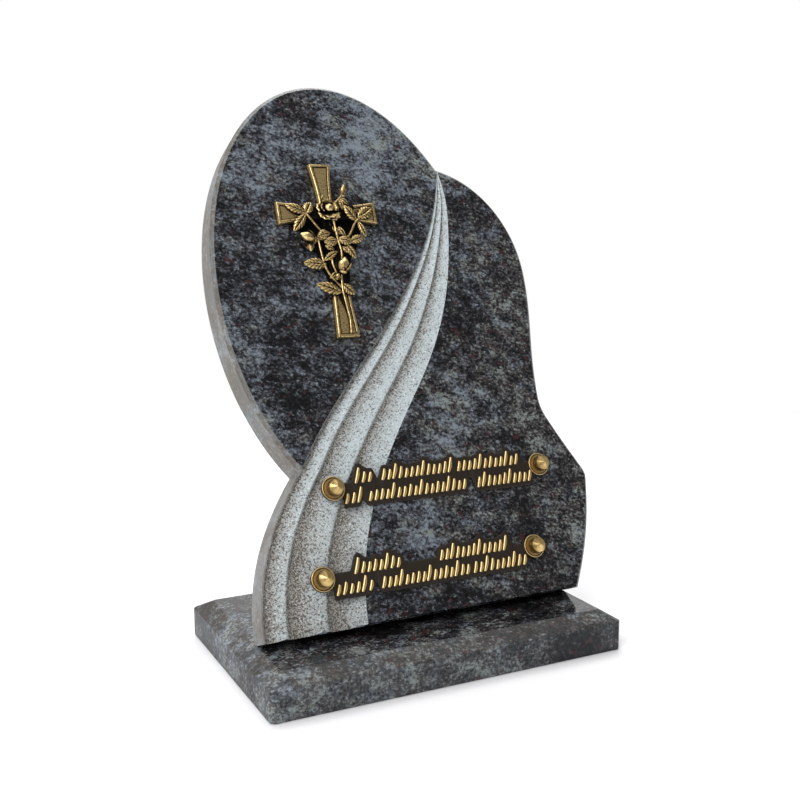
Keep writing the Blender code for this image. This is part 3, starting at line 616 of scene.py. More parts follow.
def turned_brass(name, bronze, rim):
    """Satin brass with the fine rings of the lathe, with painted shade that makes the side of the cap
    browner.
    """
    made, tree, shader = new_material(name)
    rings = stored(tree, "radius")
    turning = add(tree, "TexNoise", {"noise_dimensions": "1D"}, W=rings, Scale=2.6, Detail=3.0)
    groove = turning.outputs["Fac"]
    smear = speckle(tree, face_coordinates(tree), 2.4, 3.0)
    worn = blend(tree, spread(tree, smear, 0.35, 0.7, 0.0, 0.35), bronze.brass, bronze.dull)
    # Painted shade: the cap's side and underside, wider than the rim, turn to dull bronze
    side = spread(tree, rings, rim, rim + 0.1, 0.0, 0.85)
    tangent = add(tree, "Tangent", {"direction_type": "UV_MAP", "uv_map": "turning"})
    wire(tree, shader, Base_Color=blend(tree, side, worn, bronze.dull), Metallic=1.0,
         Anisotropic=0.75, Tangent=tangent.outputs[0],
         Roughness=spread(tree, groove, 0.3, 0.7, 0.22, 0.38))
    relief(tree, shader, 0.25, 0.0002, groove)
    return made


# Plinth

PLINTH_CHIP = (1.8, 1.0, 0.9)


class GRAVE_OT_plinth(bpy.types.Operator):
    """Build the bevelled base slab with its polished flat and honed bevels."""

    bl_idname = "grave.plinth"
    bl_label = "Plinth"

    def execute(self, context):
        sizes = context.scene.grave_plinth
        stone = context.scene.grave_granite
        shift = (140, 60, 25)
        finishes = (polished_granite("plinth_polished_granite", stone, shift, stone.polish * 0.6),
                    honed_granite("plinth_honed_granite", stone, shift, stone.rust, 0.13),
                    honed_granite("plinth_side_granite", stone, shift, stone.blue, 0.16),
                    honed_granite("plinth_broken_granite", stone, shift, stone.honed, 0.7))
        half_x, half_y = sizes.width / 2, sizes.depth / 2
        levels = ((1.0, 0.0), (0.0, 1.0), (0.0, sizes.edge), (sizes.bevel_run, PLINTH_TOP))
        points = []
        for inset, level in levels:
            x, y, a = half_x - inset, half_y - inset, sizes.corner
            corners = ((x - a, -y), (x, a - y), (x, y - a), (x - a, y),
                       (a - x, y), (-x, y - a), (-x, a - y), (a - x, -y))
            points += [(*corner, level) for corner in corners]
        plinth = mesh_object("plinth_stone", points, ring_faces(4, 8), finishes)
        outward(plinth.data)
        bevel = plinth.modifiers.new("Arris", "BEVEL")
        bevel.width = sizes.arris
        bevel.segments = 3
        bevel.limit_method = "ANGLE"
        bevel.angle_limit = math.radians(15)
        baked(plinth)
        spots = ((-half_x + 2.0, -half_y + 1.6, sizes.edge + 0.6),
                 (-half_x + 14, -half_y - 0.3, sizes.edge + 0.2),
                 (-half_x + 96, -half_y - 0.2, 0.0), (62, -half_y - 0.3, sizes.edge + 0.3))
        for i, spot in enumerate(spots):
            cut(plinth, chip(f"plinth_chip_{i}", spot, PLINTH_CHIP, i, finishes[3]))
        for face in plinth.data.polygons:
            if face.material_index == 3:
                continue
            up = face.normal.z
            face.material_index = 0 if up > 0.99 else (1 if up > 0.2 or face.area < 60 else 2)
        place(plinth, Matrix.Identity(4), 25)
        finish_piece(plinth, "plinth_granite", "plinth")
        return {"FINISHED"}


# Stele

SWAG_LEAST_WIDTH = 0.4
SWAG_FULL_WIDTH = 34
SWAG_FADE = 0.7
SWAG_STATIONS = 230
STATION_POWER = 1.15
CUT_MARGIN = 4.0
SEAT_REACH = 200

# How far across a flute, and how much of the hollows' brown cast and painted shade it has there
HOLLOW_PLACES = (0, 0.05, 0.1, 0.34, 0.6, 1.0)
HOLLOW_LEVELS = (0, 0.6, 1.0, 0.6, 0.2, 0.05)

# Chips in the foot edge as place across, depth and size
FOOT_CHIPS = ((-118, 1.2, 2.4), (-104, 0.9, 1.8), (-92, 1.6, 3.2), (-74, 1.0, 2.2), (-61, 1.5, 3.0),
              (-40, 0.6, 1.2), (-12, 0.5, 1.4), (23, 0.6, 1.3), (58, 0.5, 1.0), (97, 0.7, 1.5))


def flute_depths(count):
    """Return shares across the swag, with a depth share and a hollow share for each."""
    section = np.array(FLUTE_SECTION)
    t = np.linspace(0, 1, count)
    smooth = t - 0.35 * np.sin(math.tau * t) / math.tau
    shares, depths = [], []
    for start, end in zip(FLUTE_STARTS, FLUTE_STARTS[1:]):
        shares.append(start + smooth * (end - start))
        depths.append(np.interp(smooth, section[:, 0], section[:, 1]))
    shares, depths = np.concatenate(shares), np.concatenate(depths)
    kept = np.append(np.diff(shares) > 1e-6, True)
    kernel = np.array((0.25, 0.5, 0.25))
    for _ in range(2):
        depths[1:-1] = np.convolve(depths, kernel, "same")[1:-1]
    return shares[kept], depths[kept]


def swag_cutter(sizes, finish):
    """Return the solid that leaves the sandblasted flutes when it is cut from the face."""
    left, right = swag_edges()
    top, notch = lobe_point(LOBE["kink"]).y, lobe_point(LOBE["notch"]).y
    shares, depths = flute_depths(24)
    steps = np.linspace(0, 1, SWAG_STATIONS) ** STATION_POWER
    heights = np.concatenate(((top + 2,), top * (1 - steps), (-CUT_MARGIN,)))
    low, high = crossings(left, heights), crossings(right, heights)
    points = []
    for height, start, end in zip(heights, low, high):
        width = max(end - start, SWAG_LEAST_WIDTH)
        fullness = min(width / SWAG_FULL_WIDTH, 1) ** SWAG_FADE
        overrun = CUT_MARGIN * min(max((notch - height) / 1.5, 0), 1)
        across = start + shares * width
        across[0] -= overrun
        points.append((start - overrun, height, CUT_MARGIN))
        for x, deep in zip(across, depths):
            depth = (sizes.ridge_depth + deep * (sizes.flute_depth - sizes.ridge_depth)) * fullness
            rough = noise.fractal(Vector((x, height, 0)) * 0.45, 0.8, 2.1, 4)
            points.append((x, height, -depth + sizes.blast_relief * rough * fullness))
        points.append((start + width, height, CUT_MARGIN))
    count = len(shares) + 2
    tool = mesh_object("swag_tool", points, ring_faces(len(heights), count), (finish,))
    outward(tool.data)
    return tool


def mark_hollows(mesh):
    """Store how deep in a flute each point of the swag lies, as its share of the hollows' brown cast and
    painted shade.
    """
    left, right = swag_edges()
    count = len(mesh.vertices)
    places = np.empty(count * 3, np.float32)
    mesh.vertices.foreach_get("co", places)
    places = places.reshape(-1, 3)
    start, end = crossings(left, places[:, 1]), crossings(right, places[:, 1])
    across = (places[:, 0] - start) / np.maximum(end - start, SWAG_LEAST_WIDTH)
    inside = np.zeros(count)
    for low, high in zip(FLUTE_STARTS, FLUTE_STARTS[1:]):
        t = (across - low) / (high - low)
        level = np.interp(t, HOLLOW_PLACES, HOLLOW_LEVELS)
        inside = np.where((t >= 0) & (t <= 1), level, inside)
    mesh.attributes.new("hollow", "FLOAT", "POINT").data.foreach_set("value", inside.astype(np.float32))


def seat_cutter(finish):
    """Return the block that leaves the stele's flat seat just over the plinth."""
    top, half_depth = PLINTH_TOP + GAP, 94
    corners = ((-SEAT_REACH, -half_depth), (SEAT_REACH, -half_depth),
               (SEAT_REACH, half_depth), (-SEAT_REACH, half_depth))
    points = [(x, y, z) for z in (top - 20, top) for x, y in corners]
    seat = mesh_object("seat_tool", points, ring_faces(2, 4), (finish,))
    outward(seat.data)
    seat.data.transform(FACE.inverted())
    return seat


class GRAVE_OT_stele(bpy.types.Operator):
    """Build the leaning slab with its chamfers, fluted swag and worn foot."""

    bl_idname = "grave.stele"
    bl_label = "Stele"

    def execute(self, context):
        sizes = context.scene.grave_stele
        stone = context.scene.grave_granite
        shift = (0, 0, 0)
        finishes = (polished_granite("stele_polished_granite", stone, shift, stone.polish),
                    honed_granite("stele_chamfer_granite", stone, shift, stone.rust, 0.46),
                    honed_granite("stele_side_granite", stone, shift, stone.rust, 0.5),
                    honed_granite("stele_back_granite", stone, shift, stone.slate, 0.3))
        blasted = blasted_granite("stele_blasted_granite", stone, shift)
        broken = honed_granite("stele_broken_granite", stone, shift, stone.honed, 0.75)
        outline = stele_outline()
        deep = sizes.thickness
        levels = ((0.0, sizes.front_chamfer, sizes.foot_chamfer), (-sizes.front_chamfer, 0.0, 0.0),
                  (sizes.back_chamfer - deep, 0.0, 0.0), (-deep, sizes.back_chamfer, 0.0))
        points = []
        for level, width, foot_width in levels:
            points += [(p.x, p.y, level) for p in inset_ring(outline, width, foot_width)]
        count = len(outline)
        stele = mesh_object("stele_stone", points, ring_faces(4, count), finishes)
        outward(stele.data)
        for face in stele.data.polygons:
            at_foot = face.center.y < 2 * sizes.foot_chamfer
            if face.normal.z > 0.95 or (face.normal.z > 0.2 and at_foot):
                face.material_index = 0
            elif face.normal.z > 0.2:
                face.material_index = 1
            else:
                face.material_index = 3 if face.normal.z < -0.95 else 2
        cut(stele, swag_cutter(sizes, blasted))
        for i, (across, up, size) in enumerate(FOOT_CHIPS):
            lump = ((across, 0.0, -0.4 - up / 2), (size * 1.3, up, up * 1.2))
            cut(stele, chip(f"foot_chip_{i}", *lump, i + 3, broken))
        cut(stele, seat_cutter(finishes[3]))
        mark_hollows(stele.data)
        place(stele, FACE, 38)
        finish_piece(stele, "stele_granite", "stele")
        return {"FINISHED"}


# Castings

class Casting:
    """Collects the closed shells of one casting, in millimetres, with how worn each point is and the
    shade painted on it.
    """

    def __init__(self):
        self.points, self.faces, self.wear_and_shade = [], [], []

    def shell(self, points, faces, wear_and_shade):
        """Add one closed shell."""
        start = len(self.points)
        self.points += [tuple(p) for p in points]
        self.faces += [tuple(start + i for i in face) for face in faces]
        self.wear_and_shade += list(wear_and_shade)

    def sheet(self, surface, rows, columns, thickness, facing=1):
        """Add a thin closed shell under a surface that gives a place and its wear."""
        grid = [[surface(i / rows, 2 * j / columns - 1) for j in range(columns + 1)]
                for i in range(rows + 1)]
        places = np.array([[tuple(spot) for spot, rub in row] for row in grid])
        rubs = [rub for row in grid for spot, rub in row]
        normal = np.cross(np.gradient(places, axis=0), np.gradient(places, axis=1))
        normal /= np.maximum(np.linalg.norm(normal, axis=2, keepdims=True), 1e-9)
        under = places - normal * thickness * facing
        width, count = columns + 1, (rows + 1) * (columns + 1)
        faces = []
        for i in range(rows):
            for j in range(columns):
                a = i * width + j
                faces.append((a, a + 1, a + width + 1, a + width))
                faces.append(tuple(count + k for k in (a, a + width, a + width + 1, a + 1)))
        rim = [*range(width)] + [i * width + columns for i in range(1, rows + 1)]
        rim += [rows * width + j for j in range(columns - 1, -1, -1)]
        rim += [i * width for i in range(rows - 1, 0, -1)]
        for a, b in zip(rim, rim[1:] + rim[:1]):
            faces.append((b, a, count + a, count + b))
        points = [*places.reshape(-1, 3), *under.reshape(-1, 3)]
        self.shell(points, faces, rubs + [0.25] * count)

    def turned(self, profile, centre, axis=(0, 0, 1), steps=32, squash=None):
        """Add a turned shape from its radii, heights and wear, closed at its ends."""
        turn = Vector((0, 0, 1)).rotation_difference(Vector(axis)).to_matrix()
        rings, wear_and_shade = [], []
        for radius, height, rub in profile:
            for i in range(steps):
                angle = math.tau * i / steps
                r = radius * (squash(angle, height) if squash else 1)
                spot = Vector((r * math.cos(angle), r * math.sin(angle), height))
                rings.append(turn @ spot + Vector(centre))
                wear_and_shade.append(rub)
        self.shell(rings, ring_faces(len(profile), steps), wear_and_shade)

    def ring(self, profile, centre, steps):
        """Add a turned ring whose profile closes on itself."""
        points, faces, wear_and_shade = [], [], []
        count = len(profile)
        for k in range(steps):
            angle = math.tau * k / steps
            for radius, height, rub in profile:
                points.append((centre[0] + radius * math.cos(angle),
                               centre[1] + radius * math.sin(angle), height))
                wear_and_shade.append(rub)
            for i in range(count):
                j, following = (i + 1) % count, (k + 1) % steps * count
                faces.append((k * count + i, k * count + j, following + j, following + i))
        self.shell(points, faces, wear_and_shade)

    def tube(self, keys, radius, steps=10, smooth=5):
        """Add a round stem along points, thinner at its ends."""
        keys = [Vector(k) for k in keys]
        line = []
        for i in range(len(keys) - 1):
            before, after = keys[max(i - 1, 0)], keys[min(i + 2, len(keys) - 1)]
            for k in range(smooth):
                t = k / smooth
                line.append(0.5 * (2 * keys[i] + (keys[i + 1] - before) * t
                                   + (2 * before - 5 * keys[i] + 4 * keys[i + 1] - after) * t * t
                                   + (3 * keys[i] - before - 3 * keys[i + 1] + after) * t ** 3))
        line.append(keys[-1])
        points, wear_and_shade = [], []
        for i, spot in enumerate(line):
            along = (line[min(i + 1, len(line) - 1)] - line[max(i - 1, 0)]).normalized()
            side = along.cross(Vector((0, 0, 1))).normalized()
            over = side.cross(along)
            knot = 1 + 0.16 * math.sin(i * 2.4)
            end = 0.75 if i in (0, len(line) - 1) else 1
            for k in range(steps):
                angle = math.tau * k / steps
                points.append(spot + (side * math.cos(angle) + over * math.sin(angle))
                              * radius * knot * end)
                wear_and_shade.append(0.5 + 0.4 * math.sin(angle))
        self.shell(points, ring_faces(len(line), steps), wear_and_shade)

    def made(self, name, finish):
        """Return the casting as one object."""
        obj = mesh_object(name, self.points, self.faces, (finish,))
        wear_and_shade = obj.data.attributes.new("wear_and_shade", "FLOAT", "POINT")
        wear_and_shade.data.foreach_set("value", np.array(self.wear_and_shade, np.float32))
        outward(obj.data, merge=False)
        return obj


# Rose cross

CROSS_CENTRE = (-31.5, 333)
CROSS_REACHES = (43.5, 43, 43.5, 107)
ROSE_PLACE = (0.7, 2.6, 6.4)

# Stems as points across, up and off the face, counted from the crossing
STEMS = (
    ((1.8, -104.5, 6.2), (3.0, -93, 6.6), (1.6, -78, 7), (0.8, -66, 7.2), (2.4, -52, 7.4)),
    ((0.6, -66, 6.8), (-9.6, -51, 6.75), (-12.3, -34, 6.9), (-12.6, -22, 6.7)),
    ((0.8, -60, 6.4), (-3.8, -46, 7), (-3.4, -36, 7)),
    ((4.6, -42, 7.05), (5.6, -34, 7.2), (4.2, -24, 7.15)),
    ((4.2, -25, 7.3), (3.8, -18, 7.6), (3.4, -6, 7.35)),
    ((-5, -22, 6.2), (-11, -14, 6.9), (-20, -0.8, 7.2)),
    ((4.4, -25.4, 6), (14.6, -21, 7), (22, -10, 7.4), (29, -3.4, 7.4)),
    ((-6, -24, 6.25), (-12, -23.4, 7.1), (-19, -22.4, 7.15)),
    ((-12.9, -23.6, 6.85), (-16, -26, 6.8), (-20, -29.5, 6.6)),
    ((3.4, 4.4, 6), (12, 12, 7), (15.6, 16.5, 7.4)),
)

# Leaves as base, tip, width and the two ends' heights
LEAVES = (
    ((-20.2, -0.4), (-36.6, 7.0), 7.5, 7.4, 6.9), ((-20.0, -0.8), (-14.6, 8.2), 8.5, 7.4, 7.8),
    ((-20.2, -1.4), (-32.4, -16.4), 7.5, 7.4, 6.6), ((23.8, -7.6), (14.6, 5.6), 7.5, 7.4, 8.4),
    ((26.2, -4.6), (39.8, 3.8), 9.5, 7.4, 7.4), ((25.4, -8.4), (30.6, -21.8), 5.5, 7.4, 7.0),
    ((14.6, -25.8), (28.4, -21.8), 7.0, 7.0, 7.4), ((4.2, -23.8), (17.0, -26.6), 7.5, 7.6, 8.2),
    ((4.2, -25.6), (-8.6, -26.2), 7.5, 7.6, 8.0), ((11.8, -22.6), (6.4, -12.8), 4.5, 7.0, 7.6),
    ((-2.0, -18.6), (-13.4, -21.6), 8.0, 7.6, 8.4), ((11.0, -27.6), (18.0, -40.6), 6.5, 6.8, 6.6),
    ((-10.8, -42.0), (1.6, -34.6), 5.5, 7.2, 8.0), ((-9.6, -45.4), (-28.6, -43.6), 9.0, 7.2, 6.6),
    ((-0.4, -69.6), (-20.2, -61.8), 9.0, 7.2, 6.8), ((1.2, -62.4), (11.0, -71.6), 7.5, 7.0, 6.4),
    ((12.4, 13.2), (20.0, 6.4), 4.6, 6.8, 6.6), ((12.0, 12.4), (13.6, 2.6), 4.4, 6.8, 6.8),
    ((1.6, -13.0), (9.2, -20.4), 4.8, 6.6, 6.6), ((6.8, -30.4), (13.4, -35.6), 4.6, 6.6, 6.6),
    ((-7.6, -28.8), (0.2, -33.8), 4.4, 6.6, 6.8), ((-1.2, -52.4), (-8.4, -57.4), 4.2, 6.6, 6.4),
)

# Buds as centre, radius, length, heading and height
BUDS = (((16.6, 19.6), 2.6, 9.5, 80, 8.0), ((-22.6, -21.6), 4.8, 13.0, 160, 8.0),
        ((-20.8, -31.2), 2.8, 7.0, -100, 7.4), ((4.8, -46.4), 5.8, 12.5, 75, 9.2),
        ((-1.6, -56.0), 2.6, 5.5, 60, 8.0))

# The edge of the dark web that paints the shade between the arms, counted from the crossing, and the
# height it is drawn in towards
SHADE_WEB_EDGE = [(-28, -4), (-25, -15), (-21, -25), (-14, -31), (-12, -44), (-8, -57), (-6, -70), (7, -70),
            (12, -56), (15, -40), (23, -29), (29, -16), (31, -4)]
SHADE_WEB_MIDDLE = -25

# The middle of the cross, whose face is black behind the stems: painted shade
SHADED_FOOT, SHADED_TOP = -72, 8
SHADED_HALF_WIDTH = 24
SHADED_WEAR = 0.2


def cross_outline(end_width, waist_width):
    """Return the flared cross, running anticlockwise."""
    outline = []
    half, flare = waist_width / 2, (end_width - waist_width) / 2
    steps = [0.16 + 0.84 * i / 14 for i in range(15)]
    for quarter, reach in enumerate(CROSS_REACHES):
        turn = Matrix.Rotation(quarter * math.pi / 2, 2)
        for t in steps:
            outline.append(turn @ Vector((reach * t, -half - flare * t ** 2)))
        for t in reversed(steps):
            outline.append(turn @ Vector((reach * t, half + flare * t ** 2)))
        outline.append(turn @ Vector((half, half)))
    return outline


def behind_stems(point):
    """Tell whether a point of the cross lies in the painted shade behind the stems."""
    return SHADED_FOOT <= point.y <= SHADED_TOP and abs(point.x) <= SHADED_HALF_WIDTH


def add_plate(casting, sizes):
    """Add the cross with its raised rim and its sunk face."""
    outline = cross_outline(sizes.end_width, sizes.waist_width)
    high, rim = GAP + sizes.plate, sizes.rim
    profile = ((0.0, GAP, 0.3), (0.0, GAP + 0.8, 0.75), (0.0, high - 0.7, 0.85), (0.25, high - 0.2, 0.95),
               (0.7, high, 1.0), (rim - 0.4, high, 0.95), (rim, high - 0.3, 0.4),
               (rim + 0.3, high - sizes.recess, 0.1), (rim + 0.9, high - sizes.recess, 1.0))
    points, wear_and_shade = [], []
    for inset, level, rub in profile:
        ring = inset_ring(outline, inset, inset)
        points += [(p.x, p.y, level) for p in ring]
        # Painted shade: behind the stems the face keeps only a share of its worn gold and turns black
        wear_and_shade += [rub * (SHADED_WEAR if behind_stems(p) else 1) for p in ring]
    casting.shell(points, ring_faces(len(profile), len(outline)), wear_and_shade)


def add_shade_web(casting):
    """Add the thin dark web that joins the stems and buds under the arms, a sheet of painted shade."""
    across, up, rings = [], [], []
    for first, last in zip(SHADE_WEB_EDGE, SHADE_WEB_EDGE[1:] + SHADE_WEB_EDGE[:1]):
        across += [first[0] + (last[0] - first[0]) * i / 8 for i in range(8)]
        up += [first[1] + (last[1] - first[1]) * i / 8 for i in range(8)]
    edge = [Vector(p) for p in zip(across, up)]
    for _ in range(4):
        edge = [(edge[i - 1] + edge[i] * 2 + edge[(i + 1) % len(edge)]) / 4 for i in range(len(edge))]
    for share, level in ((1.0, GAP), (1.0, GAP + 0.5), (0.97, GAP + 0.9), (0.5, GAP + 1.0)):
        rings += [(p.x * share, SHADE_WEB_MIDDLE + (p.y - SHADE_WEB_MIDDLE) * share, level) for p in edge]
    casting.shell(rings, ring_faces(4, len(edge)), [0.0] * len(rings))


def add_leaf(casting, base, tip, width, base_height, tip_height, fold):
    """Add one toothed leaf, folded along its midrib and grooved by its veins."""
    start, end = Vector((*base, base_height)), Vector((*tip, tip_height))
    along = end - start
    side = along.cross(Vector((0, 0, 1))).normalized()
    over = side.cross(along).normalized()

    def surface(u, v):
        body = math.sin(math.pi * (0.05 + 0.93 * u)) ** 0.78
        tooth = abs((u * 6.5) % 1 - 0.5) * 2
        half = width / 2 * body * (1 + 0.14 * tooth * abs(v) ** 3)
        vein = (u * 6.0 - abs(v) * 1.5) % 1
        vein = min(vein, 1 - vein)
        groove = math.exp(-(vein / 0.16) ** 2) * min(abs(v) * 4, 1) * 0.32
        rib = math.exp(-(v / 0.11) ** 2) * 0.55
        pillow = fold * math.sin(math.pi * min(abs(v), 1)) ** 0.8 * body
        lift = pillow - groove * body - rib * body + 0.8 * math.sin(math.pi * u) - 0.5 * v * v
        spot = start + along * u + side * half * v + over * lift
        rub = 0.98 - 1.9 * groove - 1.1 * rib - 0.25 * abs(v) ** 4
        return spot, rub

    casting.sheet(surface, 36, 14, 1.0, -1)


def add_petal(casting, matrix, heading, low, high, base, rise, spread_angle, curl, lean):
    """Add one cupped petal of a rose around the rose's own axis."""
    def surface(u, v):
        rim = 1 - 0.16 * v * v - 0.06 * math.cos(v * 3 * math.pi)
        radius = low + (high - low) * math.sin(u * math.pi / 2) * rim
        angle = heading + spread_angle * v * (0.55 + 0.45 * u)
        fall = max(u - 0.72, 0) / 0.28
        level = base + rise * u ** 1.25 * rim - curl * fall ** 2 + lean * v * u
        radius += 0.55 * curl * fall ** 2
        spot = matrix @ Vector((radius * math.cos(angle), radius * math.sin(angle), level))
        return spot, 0.1 + 0.95 * u ** 0.9 - 0.18 * abs(v) ** 5

    casting.sheet(surface, 14, 12, 0.75)


def add_rose(casting):
    """Add the open rose, which looks up and out of the cross."""
    matrix = Matrix.Translation(ROSE_PLACE) @ Matrix.Rotation(math.radians(-10), 4, "X")
    for heading, reach in ((90, 12.6), (163, 9.6), (20, 9.6), (232, 10.4), (306, 10.8)):
        add_petal(casting, matrix, math.radians(heading), 1.5, reach, -0.4, 2.4,
                  math.radians(33), 1.3, 0.5)
    for heading, reach in ((270, 9.4), (92, 8.0), (12, 6.8), (176, 6.6)):
        add_petal(casting, matrix, math.radians(heading), 1.6, reach, 0.4, 3.6,
                  math.radians(40), 0.9, 0.6)
    profile = [(3.6 * math.sin(math.pi * t) ** 0.62 + 0.05, 5.6 * t, 0.15 + 0.85 * min(t * 1.5, 1))
               for t in (0.02, 0.12, 0.24, 0.36, 0.48, 0.6, 0.7, 0.8, 0.88, 0.94, 0.98)]
    axis = matrix.to_3x3() @ Vector((0, 0, 1))

    def folded(angle, level):
        return (1 - 0.2 * math.exp(-(math.sin(angle / 2 - 0.8 - level * 0.06) / 0.12) ** 2)
                - 0.12 * math.exp(-(math.sin(angle / 2 + 0.5 + level * 0.09) / 0.1) ** 2))

    casting.turned(profile, matrix.translation, axis, 48, folded)


def add_bud(casting, centre, radius, length, heading, height):
    """Add one pointed bud with its sepals."""
    turn = math.radians(heading)
    axis = Vector((math.cos(turn), math.sin(turn), 0.18)).normalized()
    middle = Vector((*centre, height))
    start = middle - axis * length / 2

    def swirl(angle, level):
        return 1 - 0.13 * math.exp(-(math.sin(angle * 1.5 + level * 0.55) / 0.3) ** 2)

    profile = []
    for t in (0.02, 0.08, 0.18, 0.3, 0.42, 0.55, 0.68, 0.8, 0.9, 0.97):
        swell = math.sin(math.pi * t ** 0.8) ** 0.75 * (1 - 0.28 * t)
        profile.append((radius * max(swell, 0.08), length * t, 0.35 + 0.62 * min(t * 2, 1)))
    casting.turned(profile, start, axis, 24, swirl)
    casting.turned([(radius * r, length * z, w) for r, z, w in
                    ((0.25, -0.2, 0.5), (0.5, -0.12, 0.8), (0.62, -0.02, 0.9), (0.4, 0.06, 0.4))],
                   start, axis, 16)
    frame_turn = Vector((0, 0, 1)).rotation_difference(axis).to_matrix()
    for i in range(4):
        angle = math.tau * (i + 0.4) / 4

        def surface(u, v, angle=angle):
            swell = radius * (0.35 + 0.78 * math.sin(math.pi * (0.1 + 0.5 * u)))
            around = angle + v * 0.62 * (1 - u) ** 0.7
            spot = Vector((swell * math.cos(around), swell * math.sin(around), length * 0.62 * u))
            return frame_turn @ spot + start, 0.55 + 0.4 * u

        casting.sheet(surface, 8, 4, 0.45, -1)


class GRAVE_OT_rose_cross(bpy.types.Operator):
    """Cast the flared cross with its rose, leaves, buds and stems."""

    bl_idname = "grave.rose_cross"
    bl_label = "Rose Cross"

    def execute(self, context):
        sizes = context.scene.grave_cross
        casting = Casting()
        add_plate(casting, sizes)
        # A dark sheet paints the shade between the stems and buds under the arms
        add_shade_web(casting)
        for stem in STEMS:
            casting.tube(stem, sizes.stem)
        for leaf in LEAVES:
            add_leaf(casting, *leaf, sizes.fold)
        for bud in BUDS:
            add_bud(casting, *bud)
        add_rose(casting)
        finish = cast_bronze("cross_cast_bronze", context.scene.grave_bronze)
        cross = casting.made("rose_cross_casting", finish)
        cross.data.transform(Matrix.Translation((*CROSS_CENTRE, 0)))
        place(cross, FACE, 50)
        finish_piece(cross, "cross_bronze", "rose_cross")
        return {"FINISHED"}


# Inscription plaques

STUD_SPACING = 188
EAR_HOLE = 4.75

# Each plaque's middle on the face, and its rows: the runs of strokes and the height of their feet
PLAQUES = {
    "upper": ((27.9, 106.2), ((((-72.4, -62), (-49.9, 10.1), (18.1, 73.1)), 1.8),
                              (((-84, -73), (-64, 20.1), (34, 83)), -13.2))),
    "lower": ((7.5, 39.1), ((((-65.1, -30.1), (8, 66.9)), 0.2),
                            (((-83, -56.1), (-45.1, 28.9), (36, 82.5)), -13.8))),
}
HEIGHT_SHARES = (1.0, 1.04, 0.94, 1.1, 0.98, 1.0, 1.16, 0.92)

# The nodes that set the strokes on their places, and the links between them
STROKE_NODES = {"start": "NodeGroupInput", "end": "NodeGroupOutput",
                "stroke": "GeometryNodeObjectInfo", "ground": "GeometryNodeObjectInfo",
                "tall": "GeometryNodeInputNamedAttribute", "scale": "ShaderNodeCombineXYZ",
                "turn": "ShaderNodeCombineXYZ", "back": "ShaderNodeMath",
                "copies": "GeometryNodeInstanceOnPoints", "joined": "GeometryNodeJoinGeometry",
                "real": "GeometryNodeRealizeInstances", "finish": "GeometryNodeSetMaterial"}
STROKE_LINKS = (("start", "Stroke", "stroke", "Object"), ("start", "Ground", "ground", "Object"),
                ("tall", 0, "scale", 1), ("start", "Lean", "back", 0), ("back", 0, "turn", 2),
                ("start", "Geometry", "copies", "Points"),
                ("stroke", "Geometry", "copies", "Instance"), ("turn", 0, "copies", "Rotation"),
                ("scale", 0, "copies", "Scale"), ("copies", 0, "joined", 0),
                ("ground", "Geometry", "joined", 0), ("joined", 0, "real", 0),
                ("real", 0, "finish", "Geometry"), ("start", "Finish", "finish", "Material"),
                ("finish", 0, "end", 0))


def stroke_places(rows, sizes):
    """Return each stroke's foot and height, counted from the plaque's middle."""
    places = []
    for runs, foot in rows:
        for start, end in runs:
            number = max(int((end - start) / sizes.pitch), 1)
            for i in range(number + 1):
                short = sizes.short * HEIGHT_SHARES[len(places) % len(HEIGHT_SHARES)]
                height = short if len(places) % 5 else sizes.tall
                places.append((start + (end - start) * i / number, foot, height))
    return places


def ground_edges(places, sizes):
    """Return places across and the ground's two edges, which follow the strokes."""
    half = STUD_SPACING / 2 - sizes.ear + 2
    across = np.arange(-half, half + 0.01, 0.5)
    upper, lower = np.full(len(across), 3.2), np.full(len(across), -3.2)
    reach = sizes.margin + sizes.stroke / 2
    for x, foot, height in places:
        for t in np.linspace(0, 1, 9):
            spot_x, spot_y = x + sizes.slant * (t - 0.5) * height, foot + t * height
            square = reach ** 2 - (across - spot_x) ** 2
            bulge = np.sqrt(np.maximum(square, 0))
            upper = np.where(square > 0, np.maximum(upper, spot_y + bulge), upper)
            lower = np.where(square > 0, np.minimum(lower, spot_y - bulge), lower)
    kernel = np.array((1, 2, 3, 4, 3, 2, 1)) / 16
    for edge in (upper, lower, upper, lower):
        edge[3:-3] = np.convolve(edge, kernel, "same")[3:-3]
    return across, lower, upper


def stroke_mesh(sizes):
    """Return one domed stroke of unit length, bowed a little, standing on its foot."""
    casting = Casting()
    points, wear_and_shade = [], []
    rows, columns = 11, 8
    for i in range(rows):
        t = i / (rows - 1)
        half = sizes.stroke / 2 * (0.35 + 0.65 * math.sin(math.pi * (0.06 + 0.88 * t)) ** 0.5)
        bow = 0.55 * math.sin(math.pi * t) - 0.25
        for k in range(columns):
            angle = math.pi * k / (columns - 1)
            rise = math.sin(angle) ** 0.5
            points.append((bow + half * math.cos(angle), t, -0.4 + (sizes.rise + 0.4) * rise))
            wear_and_shade.append(0.1 if rise < 0.35 else 0.95)
    casting.shell(points, ring_faces(rows, columns), wear_and_shade)
    return casting.made("stroke_pattern", None)


